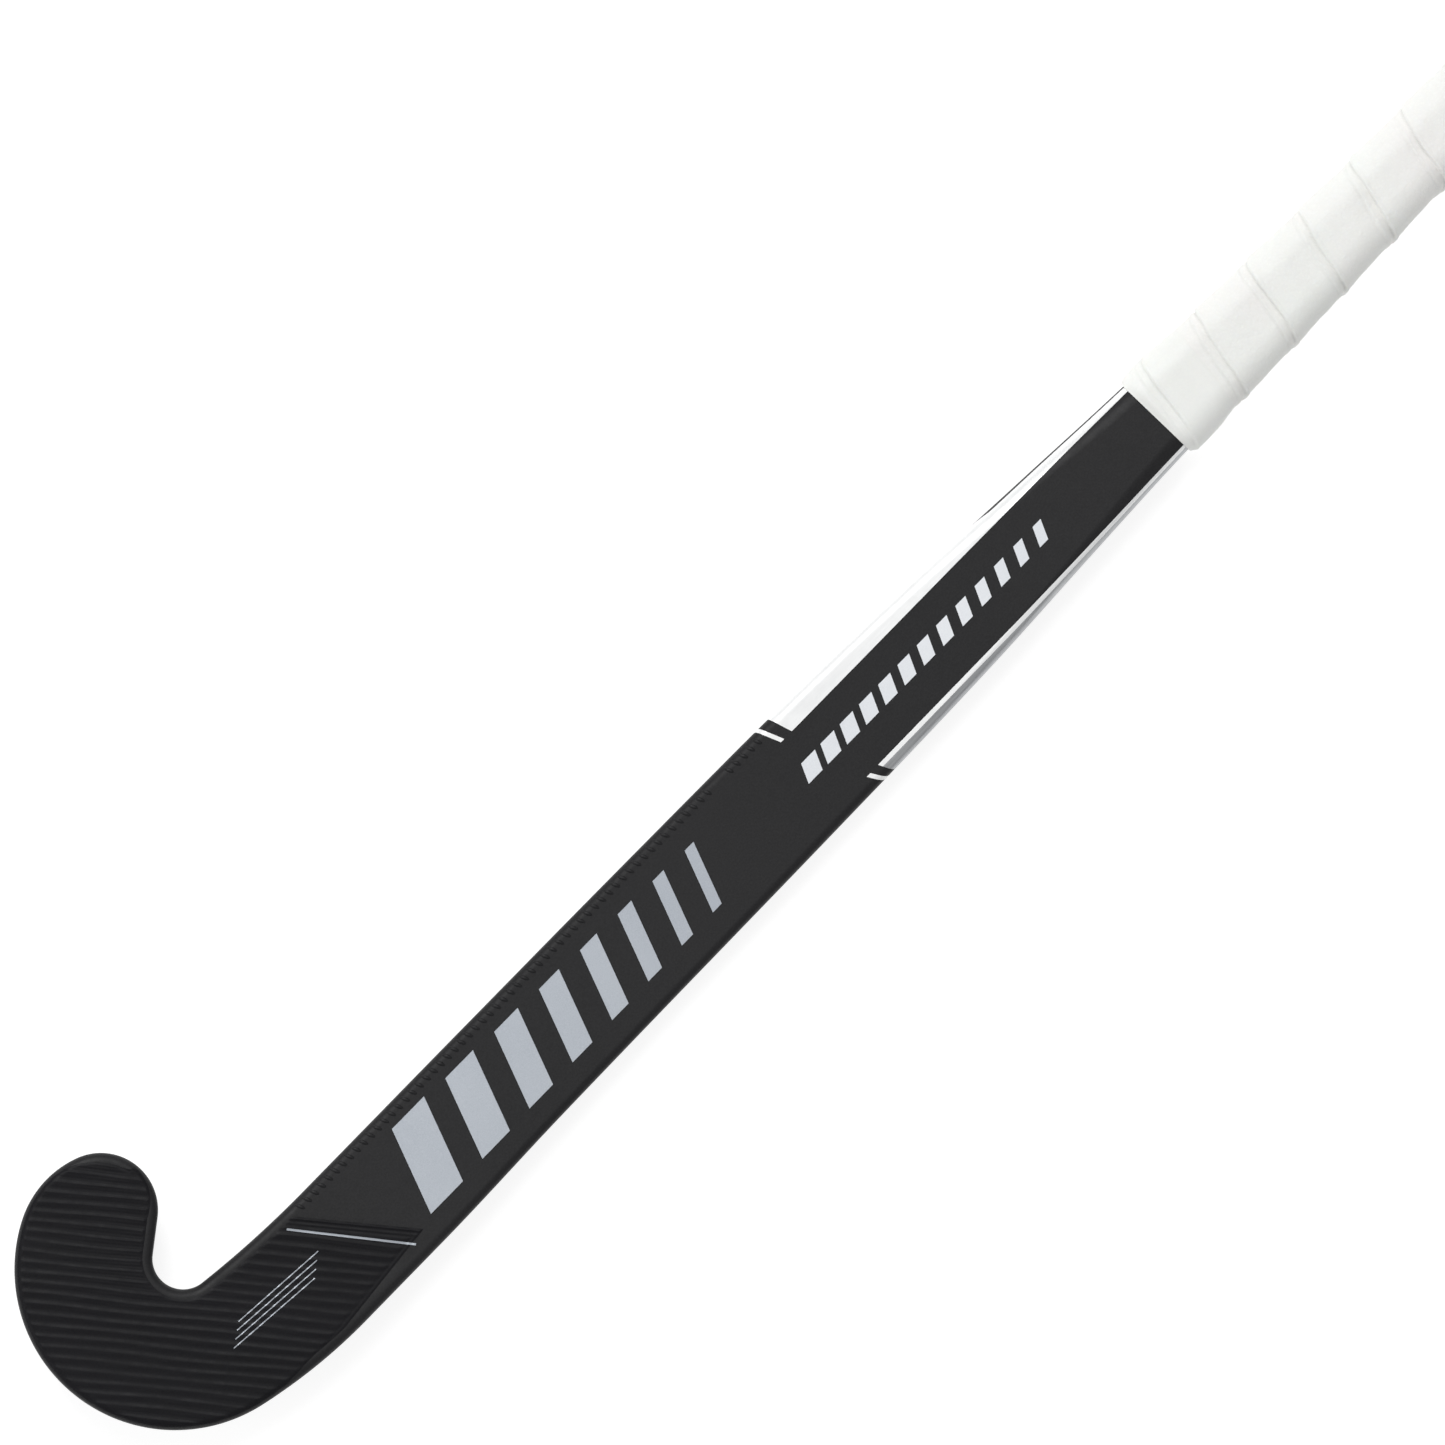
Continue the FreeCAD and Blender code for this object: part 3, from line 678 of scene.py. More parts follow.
class Tree:
    """A node tree with short ways to add and link nodes."""

    def __init__(self, tree: bpy.types.NodeTree) -> None:
        """Keep the tree."""
        self.tree = tree

    def feed(self, node: bpy.types.Node, name: str | int, value: float | tuple | Socket) -> None:
        """Set one input of a node, or link a socket to it.

        Args:
            node: the node.
            name: the input's name or number.
            value: a number, a colour or a socket.
        """
        if isinstance(value, bpy.types.NodeSocket):
            self.tree.links.new(value, node.inputs[name])
        else:
            node.inputs[name].default_value = value

    def add(self, kind: str, inputs: dict | None = None, **settings) -> bpy.types.Node:
        """Add a node.

        Args:
            kind: the node's type, without the leading ShaderNode.
            inputs: numbers, colours or sockets by input name or number.
            settings: the node's own settings.

        Returns:
            The node.
        """
        node = self.tree.nodes.new(kind if kind.startswith("Node") else f"ShaderNode{kind}")
        for name, value in settings.items():
            setattr(node, name, value)
        for name, value in (inputs or {}).items():
            self.feed(node, name, value)
        return node

    def maths(self, operation: str, *values: float | Socket) -> Socket:
        """The result of one Math node."""
        return self.add("Math", dict(enumerate(values)), operation=operation).outputs[0]

    def spread(self, value: Socket, low: float, high: float, to_low: float = 0.0, to_high: float = 1.0) -> Socket:
        """Map a value's range on to another, and hold it there."""
        inputs = {"Value": value, "From Min": low, "From Max": high, "To Min": to_low, "To Max": to_high}
        return self.add("MapRange", inputs).outputs[0]

    def mix(self, share: Socket, one: Colour | Socket, other: Colour) -> Socket:
        """Mix two colours.

        Args:
            share: how much of the other colour.
            one: the colour at 0.
            other: the colour at 1.

        Returns:
            The mixed colour.
        """
        node = self.add("Mix", data_type="RGBA")
        for index, value in ((0, share), (6, one), (7, other)):
            self.feed(node, index, (*value, 1.0) if isinstance(value, tuple) else value)
        return node.outputs[2]


class Effect(Enum):
    """The shared effects, each one a node group that every finish may place."""

    GRAIN = "fine_grain"
    TWILL = "twill_weave"
    DRIFT = "colour_drift"
    CELLS = "foam_cells"
    STREAKS = "long_streaks"


class EffectGroup(Tree):
    """A shader node group for one effect, which works on Object coordinates, in metres."""

    def __init__(self, effect: Effect, outputs: tuple[str, ...] = ("Height", "Mask"), **inputs: float) -> None:
        """Start the group.

        Args:
            effect: the effect it makes.
            outputs: its number outputs.
            inputs: its number inputs and their usual values.
        """
        group = bpy.data.node_groups.new(effect.value, "ShaderNodeTree")
        super().__init__(group)
        for name, value in inputs.items():
            socket = group.interface.new_socket(name, in_out="INPUT", socket_type="NodeSocketFloat")
            socket.default_value = value
        for name in outputs:
            group.interface.new_socket(name, in_out="OUTPUT", socket_type="NodeSocketFloat")
        source = self.add("NodeGroupInput")
        self.given = {name: source.outputs[name] for name in inputs}
        self.sink = self.add("NodeGroupOutput")
        self.place = self.add("TexCoord").outputs["Object"]

    def per(self, name: str) -> Socket:
        """One divided by a given length, which is a texture's scale."""
        return self.maths("DIVIDE", 1.0, self.given[name])

    def put_out(self, **values: Socket) -> None:
        """Link values to the group's outputs."""
        for name, value in values.items():
            self.feed(self.sink, name, value)


def make_effects() -> None:
    """Build the shared node groups."""
    grain = EffectGroup(Effect.GRAIN, Size=0.001, Roughness=0.6)
    noise = grain.add("TexNoise", {"Vector": grain.place, "Scale": grain.per("Size"), "Detail": 4.0,
                                   "Roughness": grain.given["Roughness"]}).outputs["Fac"]
    grain.put_out(Height=noise, Mask=grain.spread(noise, 0.35, 0.65))

    twill = EffectGroup(Effect.TWILL, Pitch=0.002, Turn=0.0)
    turned = twill.add("VectorRotate", {"Vector": twill.place, "Angle": twill.given["Turn"]}, rotation_type="Z_AXIS")
    parts = twill.add("SeparateXYZ", {"Vector": turned.outputs[0]}).outputs
    warp, weft = (twill.maths("DIVIDE", parts[axis], twill.given["Pitch"]) for axis in ("X", "Y"))
    # A tow is over where the step of its column less the step of its row falls in the first half of four.
    stair = twill.maths("SUBTRACT", twill.maths("FLOOR", warp), twill.maths("FLOOR", weft))
    over = twill.maths("LESS_THAN", twill.maths("FLOORED_MODULO", stair, 4.0), 2.0)
    tow_warp, tow_weft = (twill.maths("SINE", twill.maths("MULTIPLY", twill.maths("FRACT", tow), math.pi))
                          for tow in (warp, weft))
    twill.put_out(Height=twill.add("Mix", {0: over, 2: tow_weft, 3: tow_warp}).outputs[0], Mask=over)

    drift = EffectGroup(Effect.DRIFT, ("Mask",), Size=0.05, Seed=0.0)
    noise = drift.add("TexNoise", {"Vector": drift.place, "W": drift.given["Seed"], "Scale": drift.per("Size"),
                                   "Detail": 2.0}, noise_dimensions="4D").outputs["Fac"]
    drift.put_out(Mask=drift.spread(noise, 0.3, 0.7))

    foam = EffectGroup(Effect.CELLS, Size=0.001)
    cells = foam.add("TexVoronoi", {"Vector": foam.place, "Scale": foam.per("Size")}).outputs["Distance"]
    foam.put_out(Height=cells, Mask=foam.spread(cells, 0.1, 0.5))

    streaks = EffectGroup(Effect.STREAKS, Size=0.001, Length=0.03)
    stretch = streaks.maths("DIVIDE", streaks.given["Size"], streaks.given["Length"])
    squeezed = streaks.add("CombineXYZ", {"X": stretch, "Y": 1.0, "Z": 1.0}).outputs[0]
    scaled = streaks.add("VectorMath", {0: streaks.place, 1: squeezed}, operation="MULTIPLY").outputs[0]
    noise = streaks.add("TexNoise", {"Vector": scaled, "Scale": streaks.per("Size"), "Detail": 3.0}).outputs["Fac"]
    streaks.put_out(Height=noise, Mask=streaks.spread(noise, 0.4, 0.6))


@dataclass(frozen=True)
class Relief:
    """One layer of fine relief: an effect with its inputs, and how deep it is in millimetres."""

    effect: Effect
    inputs: dict[str, float]
    depth: float


@dataclass(frozen=True)
class Finish:
    """A procedural finish: two colours that drift into each other, specks, painted crease shade, relief and gloss."""

    name: str
    colour: Colour
    second: Colour
    drift: float = 0.05
    speck: Colour | None = None
    speck_effect: Effect = Effect.GRAIN
    speck_inputs: dict[str, float] = field(default_factory=lambda: {"Size": 0.0004})
    speck_share: float = 0.3
    rough: Pair = (0.5, 0.6)
    reliefs: tuple[Relief, ...] = ()
    metallic: float = 0.0
    specular: float = 0.5
    coat: float = 0.0
    coat_rough: float = 0.3
    sheen: float = 0.0
    subsurface: float = 0.0
    glow: float = 0.0
    # Colour of the painted shade in creases, mixed in by the crease_shade attribute.
    crease: Colour | None = None

    def material(self) -> bpy.types.Material:
        """Make the material, or find it if it is made already.

        Returns:
            The material.
        """
        made = bpy.data.materials.get(self.name)
        if made:
            return made
        made = bpy.data.materials.new(self.name)
        made.use_nodes = True
        made.node_tree.nodes.clear()
        tree = Tree(made.node_tree)
        shader = tree.add("BsdfPrincipled", {
            "Metallic": self.metallic, "Specular IOR Level": self.specular, "Coat Weight": self.coat,
            "Coat Roughness": self.coat_rough, "Sheen Weight": self.sheen, "Subsurface Weight": self.subsurface,
            "Emission Color": (1.0, 1.0, 1.0, 1.0), "Emission Strength": self.glow})
        tree.add("OutputMaterial", {0: shader.outputs[0]})
        drift = self.place(tree, Effect.DRIFT, {"Size": self.drift}).outputs["Mask"]
        colour = tree.mix(drift, self.colour, self.second)
        if self.speck:
            specks = self.place(tree, self.speck_effect, self.speck_inputs).outputs["Mask"]
            colour = tree.mix(tree.maths("MULTIPLY", specks, self.speck_share), colour, self.speck)
        # Painted shade: mix towards the crease colour by the crease_shade attribute on the points.
        if self.crease:
            shade = tree.add("Attribute", attribute_name=SHADE).outputs["Fac"]
            colour = tree.mix(shade, colour, self.crease)
        tree.feed(shader, "Base Color", colour)
        patch = self.place(tree, Effect.GRAIN, {"Size": 0.004}).outputs["Height"]
        tree.feed(shader, "Roughness", tree.spread(patch, 0.3, 0.7, *self.rough))
        below = {}
        for relief in self.reliefs:
            height = self.place(tree, relief.effect, relief.inputs).outputs["Height"]
            bump = tree.add("Bump", {"Height": height, "Strength": 1.0, "Distance": relief.depth * METRE, **below})
            below = {"Normal": bump.outputs[0]}
        for name, normal in below.items():
            tree.feed(shader, name, normal)
        return made

    def place(self, tree: Tree, effect: Effect, inputs: dict[str, float]) -> bpy.types.Node:
        """Place a shared effect in the material, with its own values.

        Args:
            tree: the material's tree.
            effect: the effect.
            inputs: the values for its inputs.

        Returns:
            The effect's node.
        """
        node = tree.add("Group", node_tree=bpy.data.node_groups[effect.value])
        for name, value in inputs.items():
            tree.feed(node, name, value)
        return node

    def dress(self, piece: bpy.types.Object) -> None:
        """Put the material on a piece, in place of whatever it had."""
        piece.data.materials.clear()
        piece.data.materials.append(self.material())

    def dress_node(self, node: bpy.types.Object) -> None:
        """Put the material in the slots of a construction node.

        Args:
            node: the construction node.
        """
        if not node.material_slots:
            node.data.materials.append(self.material())
        for slot in node.material_slots:
            slot.material = self.material()


LACQUER = Finish(
    "matt_black_lacquer", (0.0092, 0.0092, 0.0102), (0.0122, 0.012, 0.013), drift=0.09,
    speck=(0.03, 0.03, 0.032), speck_inputs={"Size": 0.0007}, speck_share=0.25, rough=(0.46, 0.56), specular=0.24,
    reliefs=(Relief(Effect.TWILL, {"Pitch": 0.0016, "Turn": 0.785}, 0.006),
             Relief(Effect.GRAIN, {"Size": 0.0009, "Roughness": 0.5}, 0.02)))
RIBBED = Finish(
    "ribbed_face_skin", (0.0048, 0.0048, 0.006), (0.0064, 0.0061, 0.008), drift=0.04,
    speck=(0.026, 0.026, 0.028), speck_inputs={"Size": 0.0005}, speck_share=0.2, rough=(0.42, 0.55), specular=0.13,
    reliefs=(Relief(Effect.GRAIN, {"Size": 0.0005, "Roughness": 0.6}, 0.02),))
SILVER = Finish(
    "silver_foil_print", (0.36, 0.39, 0.435), (0.42, 0.45, 0.49), drift=0.06, speck=(0.52, 0.55, 0.59),
    speck_inputs={"Size": 0.00035}, speck_share=0.5, rough=(0.42, 0.52), metallic=0.55,
    reliefs=(Relief(Effect.GRAIN, {"Size": 0.00035, "Roughness": 0.7}, 0.012),))
PALE_SILVER = Finish(
    "pale_silver_print", (0.76, 0.78, 0.81), (0.66, 0.69, 0.73), drift=0.08, speck=(0.84, 0.86, 0.88),
    speck_inputs={"Size": 0.0004}, speck_share=0.4, rough=(0.4, 0.5), metallic=0.25,
    reliefs=(Relief(Effect.GRAIN, {"Size": 0.00035, "Roughness": 0.7}, 0.01),))
BRIGHT = Finish(
    "bright_silver_foil", (0.93, 0.935, 0.935), (0.87, 0.88, 0.885), drift=0.05, speck=(0.95, 0.95, 0.95),
    speck_effect=Effect.STREAKS, speck_inputs={"Size": 0.0008, "Length": 0.02}, speck_share=0.4,
    rough=(0.3, 0.4), metallic=0.2,
    reliefs=(Relief(Effect.STREAKS, {"Size": 0.0006, "Length": 0.02}, 0.012),))
# Painted shade: a darker copy of the bright foil, for the part of the heel foil down the side that faces away from
# the key light.
PAINTED_SHADE_FOIL = replace(BRIGHT, name="shaded_silver_foil", colour=(0.36, 0.37, 0.385), second=(0.42, 0.43, 0.44),
                    speck=(0.5, 0.51, 0.52), metallic=0.6)
# The crease colour is painted shade beside the grip's tape edges.
GRIP_WHITE = Finish(
    "white_grip", (0.89, 0.89, 0.85), (0.90, 0.875, 0.845), drift=0.03, crease=(0.50, 0.50, 0.47),
    speck=(0.70, 0.70, 0.68), speck_effect=Effect.CELLS, speck_inputs={"Size": 0.0011}, speck_share=0.12,
    rough=(0.52, 0.68), subsurface=0.05,
    reliefs=(Relief(Effect.CELLS, {"Size": 0.0011}, 0.09),
             Relief(Effect.GRAIN, {"Size": 0.003, "Roughness": 0.55}, 0.22)))
# The crease colour is painted shade where the grip's tape edges show through the tape.
TAPE_WHITE = Finish(
    "white_finishing_tape", (0.865, 0.865, 0.825), (0.875, 0.87, 0.84), drift=0.02, crease=(0.50, 0.50, 0.47),
    speck=(0.74, 0.74, 0.73), speck_inputs={"Size": 0.001}, speck_share=0.15, rough=(0.45, 0.6), subsurface=0.04,
    reliefs=(Relief(Effect.GRAIN, {"Size": 0.002, "Roughness": 0.5}, 0.08),
             Relief(Effect.STREAKS, {"Size": 0.0004, "Length": 0.006}, 0.015)))
CAP_WHITE = Finish(
    "moulded_white_cap", (0.78, 0.78, 0.765), (0.74, 0.74, 0.73), drift=0.01, speck=(0.66, 0.66, 0.65),
    speck_inputs={"Size": 0.0006}, speck_share=0.2, rough=(0.42, 0.52),
    reliefs=(Relief(Effect.GRAIN, {"Size": 0.0004, "Roughness": 0.7}, 0.03),))
CORE_FOAM = Finish(
    "rigid_core_foam", (0.70, 0.63, 0.44), (0.76, 0.70, 0.52), drift=0.02, speck=(0.42, 0.36, 0.22),
    speck_effect=Effect.CELLS, speck_inputs={"Size": 0.0009}, speck_share=0.5, rough=(0.8, 0.95),
    reliefs=(Relief(Effect.CELLS, {"Size": 0.0009}, 0.25),))
RAW_LAMINATE = Finish(
    "raw_inner_laminate", (0.03, 0.03, 0.032), (0.045, 0.045, 0.046), drift=0.03, speck=(0.11, 0.11, 0.115),
    speck_effect=Effect.TWILL, speck_inputs={"Pitch": 0.002, "Turn": 0.785}, speck_share=0.6, rough=(0.3, 0.42),
    coat=0.4, coat_rough=0.2, reliefs=(Relief(Effect.TWILL, {"Pitch": 0.002, "Turn": 0.785}, 0.05),))
RUBBER = Finish(
    "damping_rubber", (0.035, 0.035, 0.038), (0.05, 0.05, 0.052), drift=0.01, speck=(0.09, 0.09, 0.09),
    speck_inputs={"Size": 0.0003}, speck_share=0.3, rough=(0.7, 0.85),
    reliefs=(Relief(Effect.GRAIN, {"Size": 0.0006, "Roughness": 0.6}, 0.06),))
UNDERLAY_FOAM = Finish(
    "soft_underlay_foam", (0.30, 0.30, 0.31), (0.36, 0.36, 0.37), drift=0.02, speck=(0.16, 0.16, 0.17),
    speck_effect=Effect.CELLS, speck_inputs={"Size": 0.0006}, speck_share=0.5, rough=(0.85, 0.95), sheen=0.2,
    reliefs=(Relief(Effect.CELLS, {"Size": 0.0006}, 0.1),))


# ---- face skin


@dataclass(frozen=True)
class FaceSkin:
    """The thin ribbed skin let into the flat of the head, up to a slanted border."""

    form: StickForm
    margin: float = 3.6
    rim_margin: float = 0.9
    tip: Pair = (130.3, -16.7)
    top_angle: float = math.radians(51.2)
    heel_angle: float = math.radians(5.7)
    rim_ease: Pair = (50.0, 22.0)
    toe_ease: Pair = (0.0, 25.0)
    rib_pitch: float = 3.7
    rib_angle: float = math.radians(51.5)
    rib_height: float = 0.26
    rib_climb: float = 0.8
    rib_power: float = 1.5
    rib_mean: float = 0.78
    rib_waver: Waves = ((0.22, math.inf, 9.0, 5.3, 0.0), (0.14, 6.1, math.inf, math.inf, 1.3))
    rib_uneven: Waves = ((0.16, 7.3, 11.0, math.inf, 0.0), (0.14, math.inf, 3.1, 1.0, 0.0))
    fine_ribs: Pair = (0.12, 3.0)
    rib_fade: Pair = (0.2, 0.9)
    top_calm: Pair = (3.2, 1.2)
    heel_calm: Pair = (1.0, 2.0)
    top_beads: Beads = ((0.22, 0.8, 0.45), (0.11, 2.5, 0.4))
    heel_beads: Beads = ((0.055, 0.8, 0.45),)
    bead_ease: Pair = (0.0, 0.5)
    top_from: float = 85.0
    heel_from: float = 74.0
    proud: float = 0.06
    rounded_by: float = 0.02
    bond: float = 0.05
    seat_depth: float = 0.75
    seat_ease: Pair = (2.6, 1.6)
    round_ease: Pair = (0.0, 0.35)
    seat_filled: float = 0.9
    along_step: float = 0.6
    across_count: int = 92
    crowding: float = 0.35
    edge_count: int = 420
    rim_count: int = 900

    def border(self, distance: Array) -> tuple[Array, Array]:
        """Both edges of the skin at distances along the head's outer edge.

        The heel edge runs along the heel border until that meets the outline moved in by the margin,
        and then along the outline. The other edge runs up the slanted border by the share of the way,
        and then along the facing side of the outline.

        Args:
            distance: distances along the outline's walk, from the tip on.

        Returns:
            Points of the heel edge and of the toe edge.
        """
        outline = self.form.outline
        start = outline.end - self.tip[0]
        ahead, back = outline.pairs()
        heel, heel_in = outline.at(distance)
        wide = self.margin - self.rim_margin
        heel = heel + (self.rim_margin + wide * ease(heel[:, :1], *self.rim_ease)) * heel_in
        fallen = self.tip[1] - (self.tip[0] - heel[:, 0]) * math.tan(self.heel_angle)
        slant = np.stack([heel[:, 0], fallen], axis=-1)
        on_slant = (slant[:, 1] > heel[:, 1]) & (heel[:, 0] > self.tip[0] / 2)
        heel = np.where(on_slant[:, None], slant, heel)
        high = outline.high - self.margin
        rise = high - self.tip[1]
        corner = np.array([self.tip[0] - rise / math.tan(self.top_angle), high])
        facing = outline.across_from(distance)
        toe, toe_in = outline.at(facing)
        left = ahead[-1] - distance[:, None]
        toe = toe + (self.rim_margin + wide * ease(left, *self.toe_ease)) * toe_in
        meets = np.interp(-(back[0] - (outline.end - corner[0])), -facing, distance)
        share = np.clip((distance - start) / (meets - start), 0.0, 1.0)[:, None]
        ramp = np.array(self.tip) + (corner - np.array(self.tip)) * share
        return heel, np.where(distance[:, None] < meets, ramp, toe)

    def outline_points(self) -> Array:
        """The skin's whole edge as a close row of points."""
        heel, toe = self.border(self.distances(self.edge_count))
        return np.concatenate([heel, toe[::-1]])

    def distances(self, count: int) -> Array:
        """Even distances along the outline's walk, from the skin's tip to the tip of the toe."""
        return np.linspace(self.form.outline.end - self.tip[0], self.form.outline.pairs()[0][-1], count)

    def sunk(self, gap: Array) -> Array:
        """Depth of the seat at distances from the skin's edge."""
        return self.seat_depth * ease(gap, *self.seat_ease)

    def seat(self, flat: Array) -> Array:
        """Depth of the recess that the skin lies in, at points on the face: 0 outside it and near its edge."""
        edge = self.outline_points()
        return self.sunk(distance_to(flat, edge)) * points_inside(flat, edge)

    def ribs(self, flat: Array) -> Array:
        """Height of the ribs at points on the face, as a share of the rib height.

        The ribs are a lapped profile: each one rises slowly and drops quickly across its pitch, square
        to its direction. Slow sine waves make the rows waver and their height uneven: each one has a
        height, a length along, across and square to the ribs for one radian, and a phase.

        Args:
            flat: along and across of the points.

        Returns:
            Shares of the rib height.
        """
        along, across = flat[..., 0], flat[..., 1]
        square = along * math.sin(self.rib_angle) + across * math.cos(self.rib_angle)
        waver, uneven = (sum(height * np.sin(along / long + across / wide + square / apart + phase)
                             for height, long, wide, apart, phase in waves)
                         for waves in (self.rib_waver, self.rib_uneven))
        phase = (square + waver) / self.rib_pitch % 1.0
        rise = ease(phase, 0.0, self.rib_climb) ** self.rib_power
        fall = 1.0 - ease(phase, self.rib_climb, 1 - self.rib_climb)
        fine = self.fine_ribs[0] * np.sin(self.fine_ribs[1] * FULL_TURN * phase)
        return (np.where(phase < self.rib_climb, rise, fall) + fine) * (self.rib_mean + uneven)

    def drop(self, flat: Array) -> Array:
        """How far the face has fallen at points over the head's rounded edge: r - sqrt(r^2 - (r - gap)^2).

        Args:
            flat: along and across of the points.

        Returns:
            Millimetres below the flat.
        """
        outline = self.form.outline
        line = outline.at(np.linspace(0.0, outline.pairs()[1][0], self.rim_count))[0]
        radius = self.form.shaft.face_round[0]
        inside = np.clip(radius - distance_to(flat, line), 0.0, radius)
        return radius - np.sqrt(radius**2 - inside**2)

    def relief(self, flat: Array) -> Array:
        """Height of the skin's top at points on the face.

        The ribs fade out at the skin's edge, and a rounded bead follows the two straight borders.

        Args:
            flat: along and across of the points.

        Returns:
            Heights in millimetres above the flat of the face.
        """
        gap = distance_to(flat, self.outline_points())
        top = np.array([math.sin(self.top_angle), math.cos(self.top_angle)])
        heel = np.array([math.sin(self.heel_angle), -math.cos(self.heel_angle)])
        past_tip = flat - np.array(self.tip)
        near_top = np.where(flat[..., 0] > self.top_from, -(past_tip @ top), np.inf)
        near_heel = np.where(flat[..., 0] > self.heel_from, np.abs(past_tip @ heel), np.inf)
        beads = ridges(near_top, self.top_beads) + ridges(near_heel, self.heel_beads)
        calm = ease(gap, *self.rib_fade) * ease(near_top, *self.top_calm) * ease(near_heel, *self.heel_calm)
        ribs = self.rib_height * self.ribs(flat) * calm
        return self.proud + ribs + beads * ease(gap, *self.bead_ease) - self.drop(flat)

    def build(self) -> None:
        """Make the skin as a closed sheet whose underside follows its seat."""
        whole = np.ptp(self.distances(2))
        heel, toe = self.border(self.distances(int(whole / self.along_step)))
        toe[-1] = heel[-1]
        even = np.linspace(0.0, 1.0, self.across_count)
        share = self.crowding * (1 - np.cos(math.pi * even)) / 2 + (1 - self.crowding) * even
        flat = heel[:, None] + (toe - heel)[:, None] * share[None, :, None]
        gap = distance_to(flat, self.outline_points())
        under = -self.bond - self.seat_filled * self.sunk(gap) - self.drop(flat)
        top = self.relief(flat) - (self.proud + self.rounded_by) * (1 - ease(gap, *self.round_ease))
        builder = Builder()
        builder.slab(self.form.place(flat, top), self.form.place(flat, under))
        builder.finish("ribbed_face_skin", "face_texture", RIBBED, "face_skin")


# ---- laminate


@dataclass(frozen=True)
class Laminate:
    """The outer laminate from toe to butt, hollow inside, with small nubs along its toe-side face edge."""

    form: StickForm
    skin: FaceSkin
    wall: float = 2.4
    nub_pitch: float = 3.6
    nub_length: float = 4.3
    nub_width: float = 1.5
    nub_height: float = 0.4
    nub_slant: float = math.radians(112.0)
    nub_inset: float = 2.9
    nub_points: int = 10
    nub_rows: tuple[float, ...] = (-35.0, 0.0, 35.0, 65.0, 90.0)
    nub_runs: tuple[Pair, ...] = ((105.0, 314.0), (325.0, 341.0))
    outside_steps: Pair = (3.0, 1.2)
    hollow_steps: Pair = (9.0, 4.0)

    def build(self) -> None:
        """Make the laminate and its nubs."""
        self.shell()
        self.nubs()

    def shell(self) -> None:
        """Make the wall: the outside, the hollow moved in by the wall, and the ring that joins them at the butt."""
        builder = Builder()
        first = builder.tube(self.form.loops(self.form.sections(*self.outside_steps), seat=self.skin.seat))
        hollow = self.form.loops(self.form.sections(*self.hollow_steps), inset=self.wall)
        second = builder.tube(hollow, inside_out=True)
        ring = np.arange(hollow.shape[1])
        builder.join(second + ring, first + ring)
        builder.finish("laminate_shell", "matt_laminate", LACQUER, "outer_shell")

    def nubs(self) -> None:
        """Make the nubs: low rounded ridges, each one a flattened ball laid over the face edge.

        A nub's point at angles a and b stands length cos a cos b and width sin a cos b from its middle,
        turned by its slant, and height sin b off the surface.
        """
        builder = Builder()
        shaft = self.form.shaft
        around = np.linspace(0.0, FULL_TURN, self.nub_points, endpoint=False)[None, :]
        over = np.radians(self.nub_rows)[:, None]
        long = self.nub_length / 2 * np.cos(around) * np.cos(over)
        wide = self.nub_width / 2 * np.sin(around) * np.cos(over)
        cosine, sine = math.cos(self.nub_slant), math.sin(self.nub_slant)
        middles = np.concatenate([np.arange(start, end, self.nub_pitch) for start, end in self.nub_runs])
        for middle, edge in zip(middles, shaft.edge(np.maximum(middles, shaft.along[0]), Side.TOE)):
            across = edge - self.nub_inset + (long * sine + wide * cosine)
            along, side, up = shaft.wrap(middle + long * cosine - wide * sine, across, Side.TOE, 0.0)
            points = self.form.bow.place(along, side, up + self.nub_height * np.sin(over))
            first = builder.tube(points)
            builder.close(first + np.arange(self.nub_points)[::-1], points[0].mean(0))
        builder.finish("edge_nubs", "matt_laminate", LACQUER)


# ---- prints


@dataclass(frozen=True)
class Flash:
    """A film that wraps from the face over one edge and down the side.

    Its inner and outer edges are given as along, and across on the flat sheet there. It starts that
    far along at the inner edge, and further by its slant for every millimetre outwards.
    """

    side: Side
    inner: tuple[Pair, ...]
    outer: tuple[Pair, ...]
    start: float
    slant: float
    end: float = 523.0


TOE_FLASH = Flash(Side.TOE, ((340.0, 13.75), (435.0, 13.75), (524.0, 13.4)),
                  ((340.0, 29.0), (440.0, 24.0), (456.0, 18.9), (487.0, 17.9), (524.0, 16.6)), 350.75, -0.3)
HEEL_FLASH = Flash(Side.HEEL, ((350.0, 17.0), (435.0, 16.6), (524.0, 15.5)),
                   ((350.0, 18.7), (435.0, 18.3), (524.0, 17.2)), 363.75, 0.45)
HEEL_FOIL = Flash(Side.HEEL, ((350.0, 18.75), (435.0, 18.35), (524.0, 17.25)),
                  ((350.0, 29.0), (435.0, 27.0), (524.0, 23.0)), 364.6, 0.45)


@dataclass(frozen=True)
class Tick:
    """A short line before a flash, which wraps over the same edge from inner to reach."""

    side: Side
    inner: float
    slant: float
    start: float
    end: float
    reach: float = 29.0


TICKS = (Tick(Side.TOE, 13.75, -0.4, 345.2, 346.9), Tick(Side.HEEL, 17.05, 0.58, 357.8, 359.7))


